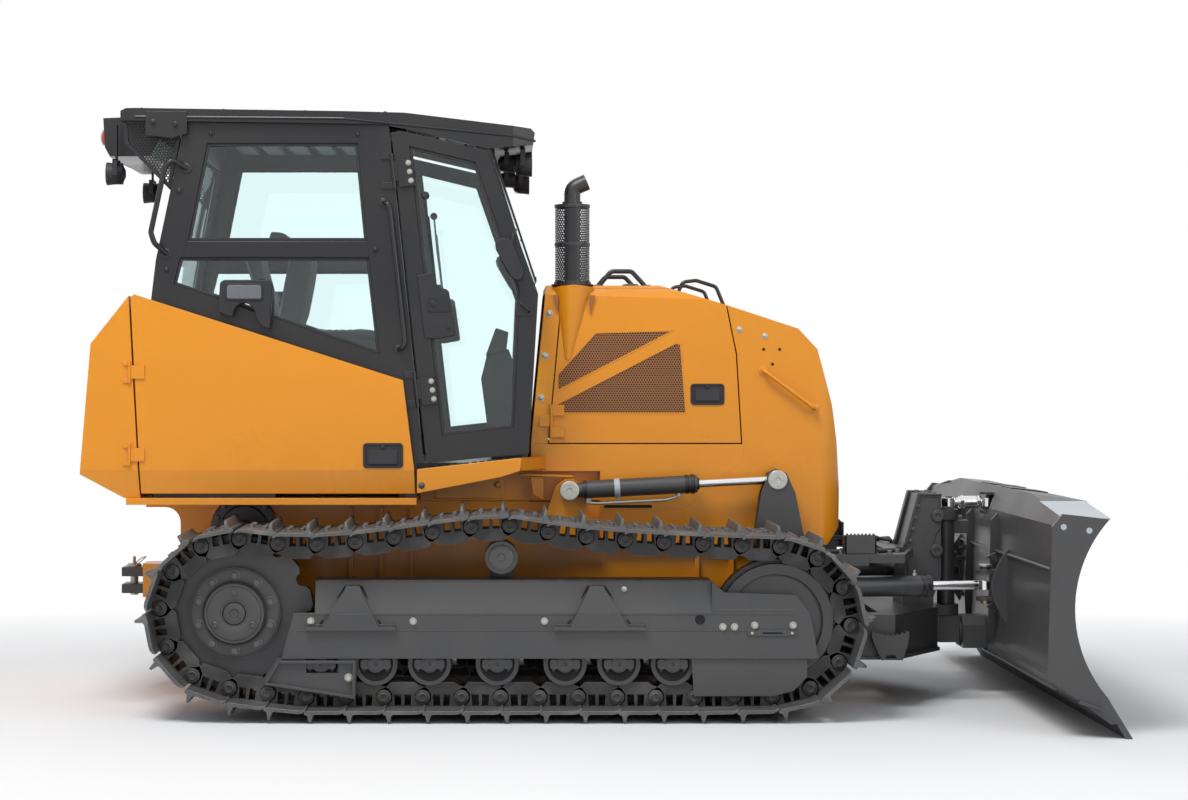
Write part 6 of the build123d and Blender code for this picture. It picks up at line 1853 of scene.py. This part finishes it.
    def tower(self) -> None:
        """Side plates with scalloped fronts, bosses, flange strip and bolts of the tower."""
        scallop = [(2.086 - 0.034 * sin(pi * k / 8), 0.8 - 0.15 * k / 8) for k in range(9)]
        plates, bolts, bosses = Form(), Form(), Form()
        for s in (-1, 1):
            out = Vector((0, s, 0))
            plates.band([(1.918, 0.7), (1.985, 0.95), (2.086, 0.948), *scallop, (2.086, 0.56),
                (2.05, 0.475), (1.935, 0.475)], 0.01, Axis.Y, s * 0.154, s * 0.16)
            plates.plate([(1.905, 0.702), (1.974, 0.96), (2.088, 0.957), (2.088, 0.948), (1.985,
                0.95), (1.918, 0.7)], s * 0.118, s * 0.168)
            for x, z in ((2.07, 0.851), (2.064, 0.687)):
                bosses.lathe([(-0.004, 0.03), (0.01, 0.03), (0.014, 0.026), (0.014, 0.012), (0.009,
                    0.01), (0.009, 0)], (x, s * 0.155, z), out, 28)
            for x, z in ((2.004, 0.809), (2.0, 0.74)):
                bosses.lathe([(0, 0.009), (0.0012, 0.009), (0.0012, 0)], (x, s * 0.155, z), out, 16)
            for k in range(4):
                bolts.bolt((1.938 + 0.013 * k, s * 0.156, 0.735 + 0.055 * k), out, 0.016)
            for x in (2.01, 2.06):
                bolts.bolt((x, s * 0.1, 0.949), UP, 0.024)
        plates.finish("tower_plates", CHARCOAL, 0.002, body="push_frame")
        bosses.finish("tower_bosses", CHARCOAL, body="push_frame")
        bolts.finish("tower_bolts", BOLT, body="push_frame")
        pipes = Form()
        for s in (-1, 1):
            for k in range(3):
                y, z = s * (0.18 + 0.03 * k), 0.715 + 0.004 * k
                pipes.tube([(1.48, s * (0.545 - 0.022 * k), 0.709), (1.7, s * (0.545 - 0.022 * k),
                    0.709), (1.858, s * (0.43 - 0.02 * k), 0.709), (1.9, y, z), (1.896, y, 0.709)],
                    0.0085, 0.05, 10)
            pipes.block((1.56, s * 0.535 - 0.04, 0.699), (1.585, s * 0.535 + 0.03, 0.722))
            pipes.block((1.845, s * 0.4 - 0.04, 0.699), (1.87, s * 0.4 + 0.045, 0.722))
        pipes.finish("frame_pipes", RUBBER, body="push_frame")

    def link(self) -> None:
        """Turned barrel and lock nuts of the pitch link."""
        way = Vector((1, 0, 0))
        nuts = Form()
        for x, r in ((2.202, 0.033), (2.282, 0.033)):
            nuts.lathe([(0, r - 0.003), (0.002, r), (0.016, r), (0.018, r - 0.003)], (x, 0, 0.909),
                way, 6)
        nuts.ring((2.222, 0, 0.909), way, 0.058, 0.0255, 0.03, 28)
        for k in range(10):
            nuts.ring((2.176 + 0.0025 * k, 0, 0.909), way, 0.002, 0.019, 0.0205, 20)
        nuts.finish("link_nuts", CHROME, body="pitch_link")

    def blade_back(self) -> None:
        """Ribs, top plates, middle plates and gussets on the blade's back."""
        pale, middle = Form(), Form()
        for s in (-1, 1):
            # Thin pale plates over the blade's top: a painted highlight for the sky's reflection on
            # the dark paint.
            pale.loft([[(2.345, s * y, z), (2.542, s * y, z), (2.542, s * y, z + 0.004), (2.345,
                s * y, z + 0.004)] for y, z in ((1.13, 0.9645), (1.597, 0.9148))])
            middle.loft([[(2.376, y, 0.9885), (2.548, y, 0.968), (2.548, y, 0.9735), (2.376, y,
                0.995)] for y in (s * 0.12, s * 0.36)])
            middle.tube([(2.38, s * 0.362, 0.991), (2.545, s * 0.362, 0.971)], 0.0035, 0.01, 6)
        pale.finish("blade_top_highlight_plates", PALE_AND_HIGHLIGHT, 0.0015, body="blade")
        middle.finish("blade_middle_plates", CHARCOAL, 0.002, body="blade")
        ribs = Form()
        for y in (-0.3, 0.3):
            deep = 0.026
            ribs.plate([(2.318, 0.3), (2.31 - deep, 0.33), (2.306 - deep, 0.43), (2.318 - deep,
                0.84), (2.33, 0.88)], y - 0.008, y + 0.008)
        for z in (0.2, 0.69):
            ribs.plate([(2.322, z), (2.306, z + 0.004), (2.306, z + 0.012), (2.322, z + 0.016)],
                -1.58, 1.58)
        for s in (-1, 1):
            curve = [(2.31 - 0.07 * sin(pi * k / 10), 0.72 - 0.34 * k / 10) for k in range(11)]
            ribs.plate([*curve, (2.318, 0.38), (2.318, 0.72)], s * 0.58, s * 0.594)
            for z0, z1 in ((0.41, 0.47), (0.64, 0.7)):
                ribs.plate([(2.316, z0), (2.262, 0.5 * (z0 + z1)), (2.316, z1)], s * 0.334,
                    s * 0.348)
        ribs.finish("blade_ribs", CHARCOAL, 0.0025, body="blade")

    def blade_front(self) -> None:
        """Edge bolts, end bits and end plate holes of the blade."""
        bolts, bits, holes = Form(), Form(), Form()
        out = Vector((-0.86, 0, -0.52)).normalized()
        for k in range(26):
            y = -1.53 + 3.06 * k / 25
            at = (2.5425, y, 0.09)
            bolts.lathe([(-0.004, 0.018), (0.004, 0.018)], at, out, 16)
            bolts.bolt(Vector(at) + out * 0.003, out, 0.03, 0.018, washer=False)
        bolts.finish("edge_nuts", BOLT, body="blade")
        front = Vector((0.853, 0, 0.521))
        heads = Form()
        for k in range(26):
            y = -1.53 + 3.06 * k / 25
            heads.lathe([(-0.003, 0.017), (0.0015, 0.016), (0.002, 0.012), (0.0005, 0)], (2.5815, y,
                0.086), front, 18)
        heads.finish("edge_heads", EDGE_STEEL, body="blade")
        for s in (-1, 1):
            y = s * self.blade_half
            bits.plate([(2.404, 0.15), (2.5, 0.118), (2.504, 0.13), (2.412, 0.164)], y - s * 0.004,
                y + s * 0.012)
            # Each hole is a thin pale disc on the end plate: painted light seen through the hole.
            for x, z in ((2.345, 0.883), (2.452, 0.868)):
                holes.lathe([(0, 0.013), (0.001, 0.013), (0.001, 0)], (x, y, z), Vector((0, s, 0)),
                    20)
        bits.finish("blade_ends", CHARCOAL, 0.002, body="blade")
        holes.finish("blade_hole_light", PALE_AND_HIGHLIGHT, body="blade")

    def tilt(self) -> None:
        """Gland, ports and pins of the tilt cylinder, and the ball seat's ring."""
        way, up, fore = Vector((0, 1, 0)), UP, Vector((-1, 0, 0))
        gland = Form()
        for y, r in ((0.46, 0.04), (0.15, 0.038)):
            gland.lathe([(0, 0.032), (0, r), (0.014, r), (0.018, r - 0.003), (0.018, 0.032)],
                (2.2, y, 0.8), way, 32, hollow=True)
        for y in (0.175, 0.44):
            gland.lathe([(0, 0.012), (0.016, 0.012)], (2.2, y, 0.832), up, 6)
        gland.finish("tilt_gland", BLACK, body="tilt_barrel")
        pins = Form()
        self.disc(pins, (2.146, 0.64, 0.8), fore, 0.03)
        pins.finish("tilt_pin", ZINC, body="blade")
        seat = Form().lathe([(0, 0.04), (0, 0.066), (0.006, 0.066), (0.01, 0.06), (0.01, 0.04)],
            (2.2005, 0, 0.29), fore, 40, hollow=True)
        for u, v in circle(8, 0.054):
            seat.bolt((2.1995, u, 0.29 + v), fore, 0.012, 0.006, washer=False)
        seat.finish("ball_seat", CHARCOAL, body="blade")


# ---- carried-over pieces ----
@dataclass
class PackedPieces:
    """CAD pieces that show as they are, each given the finish of its slot."""

    record: dict

    def build(self) -> None:
        """Assign the finishes."""
        slots = {p["node"]: p["material_slot"] for p in self.record["subparts"]}
        for name, node in frame["nodes"].items():
            node.data.materials.clear()
            node.data.materials.append(STORE[slots[name]])
            LOG.info("%s takes %s", name, slots[name])


# ---- studio ----
@dataclass
class Studio:
    """Pale floor, soft lamps and a level camera on the machine's right."""

    camera_at: Spot = (0.0, -12.143, 1.503)
    lens: float = 76.8
    shift: Pair = (0.0791, -0.0185)
    floor_half: float = 60.0
    floor_colour: Spot = (0.93, 0.93, 0.93)
    fade: Pair = (2.2, 4.6)
    fade_shape: Spot = (0.62, 1.0, 1.0)
    sky_colour: Spot = (0.9, 0.94, 1.0)
    sky_strength: float = 0.4

    def build(self) -> None:
        """Make the floor, the lamps, the sky and the camera."""
        self.floor()
        self.sky()
        self.lamp("key", (-3.0, -5.5, 9.5), (0.0, 0.0, 1.0), 4.0, 690.0)
        self.lamp("fill", (6.0, -8.0, 4.5), (0.6, 0.0, 0.9), 5.0, 160.0)
        self.lamp("back", (-1.0, 8.0, 7.0), (0.0, 0.0, 1.0), 6.0, 170.0)
        data = bpy.data.cameras.new("camera")
        data.lens = self.lens
        data.sensor_width = 36.0
        data.shift_x, data.shift_y = self.shift
        camera = bpy.data.objects.new("camera", data)
        camera.location = (self.camera_at[0] - MID_TRACK, *self.camera_at[1:])
        camera.rotation_euler = (pi / 2, 0, 0)
        bpy.context.scene.collection.objects.link(camera)
        bpy.context.scene.camera = camera
        bpy.context.scene.view_settings.view_transform = "Standard"

    def lamp(self, name: str, at: Spot, towards: Spot, size: float, power: float) -> None:
        """Square soft lamp."""
        data = bpy.data.lights.new(name, "AREA")
        data.size = size
        data.energy = power
        lamp = bpy.data.objects.new(name, data)
        lamp.location = at
        lamp.rotation_euler = (Vector(towards) - Vector(at)).to_track_quat("-Z", "Y").to_euler()
        bpy.context.scene.collection.objects.link(lamp)

    def floor(self) -> None:
        """Plain floor that fades into the backdrop."""
        mesh = bpy.data.meshes.new("floor")
        r = self.floor_half
        mesh.from_pydata([(-r, -r, 0), (r, -r, 0), (r, r, 0), (-r, r, 0)], [], [(0, 1, 2, 3)])
        floor = bpy.data.objects.new("floor", mesh)
        bpy.context.scene.collection.objects.link(floor)
        g = Graph("floor")
        g.set(Base_Color=(*self.floor_colour, 1.0), Roughness=0.9, Specular_IOR_Level=0.1)
        spot = g.nodes.new("ShaderNodeNewGeometry")
        reach = g.nodes.new("ShaderNodeVectorMath")
        reach.operation = "LENGTH"
        shrink = g.nodes.new("ShaderNodeMapping")
        shrink.inputs["Scale"].default_value = self.fade_shape
        g.links.new(spot.outputs["Position"], shrink.inputs["Vector"])
        g.links.new(shrink.outputs[0], reach.inputs[0])
        white = g.nodes.new("ShaderNodeEmission")
        blend = g.nodes.new("ShaderNodeMixShader")
        far = g.span(reach.outputs["Value"], *self.fade, 0.0, 1.0)
        g.links.new(g.math("MULTIPLY", far, self.seen(g)), blend.inputs["Fac"])
        g.links.new(g.shader.outputs[0], blend.inputs[1])
        g.links.new(white.outputs[0], blend.inputs[2])
        output = next(n for n in g.nodes if n.type == "OUTPUT_MATERIAL")
        g.links.new(blend.outputs[0], output.inputs[0])
        mesh.materials.append(g.material)

    @staticmethod
    def seen(g: Graph) -> object:
        """Factor of 1 for what the camera sees, straight, in gloss or through glass."""
        path = g.nodes.new("ShaderNodeLightPath")
        return g.math("MAXIMUM", path.outputs["Is Camera Ray"], g.math("MAXIMUM",
            path.outputs["Is Glossy Ray"], path.outputs["Is Transmission Ray"]))

    def sky(self) -> None:
        """Even light from all round, white to the camera."""
        world = bpy.data.worlds.new("sky")
        bpy.context.scene.world = world
        world.use_nodes = True
        nodes, links = world.node_tree.nodes, world.node_tree.links
        nodes.clear()
        path = nodes.new("ShaderNodeLightPath")
        seen = path.outputs["Is Camera Ray"]
        for ray in ("Is Transmission Ray", "Is Glossy Ray"):
            either = nodes.new("ShaderNodeMath")
            either.operation = "MAXIMUM"
            links.new(seen, either.inputs[0])
            links.new(path.outputs[ray], either.inputs[1])
            seen = either.outputs[0]
        shade = nodes.new("ShaderNodeBackground")
        shade.inputs["Color"].default_value = (*self.sky_colour, 1)
        shade.inputs["Strength"].default_value = self.sky_strength
        white = nodes.new("ShaderNodeBackground")
        white.inputs["Strength"].default_value = 1.0
        white.inputs["Color"].default_value = (1, 1, 1, 1)
        mix = nodes.new("ShaderNodeMixShader")
        links.new(seen, mix.inputs["Fac"])
        links.new(shade.outputs[0], mix.inputs[1])
        links.new(white.outputs[0], mix.inputs[2])
        output = nodes.new("ShaderNodeOutputWorld")
        links.new(mix.outputs[0], output.inputs[0])


def main() -> None:
    """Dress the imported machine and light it."""
    logging.basicConfig(level=logging.INFO, format="%(name)s %(message)s")
    for finish in FINISHES:
        STORE[key(finish)] = finish.material()
    PackedPieces(frame["record"]).build()
    TrackRun().build()
    for assembly in (Hood(), Cab(), Seat(), Body(), Undercarriage(), FrontEnd()):
        assembly.build()
    Studio().build()


if __name__ == "__main__":
    main()
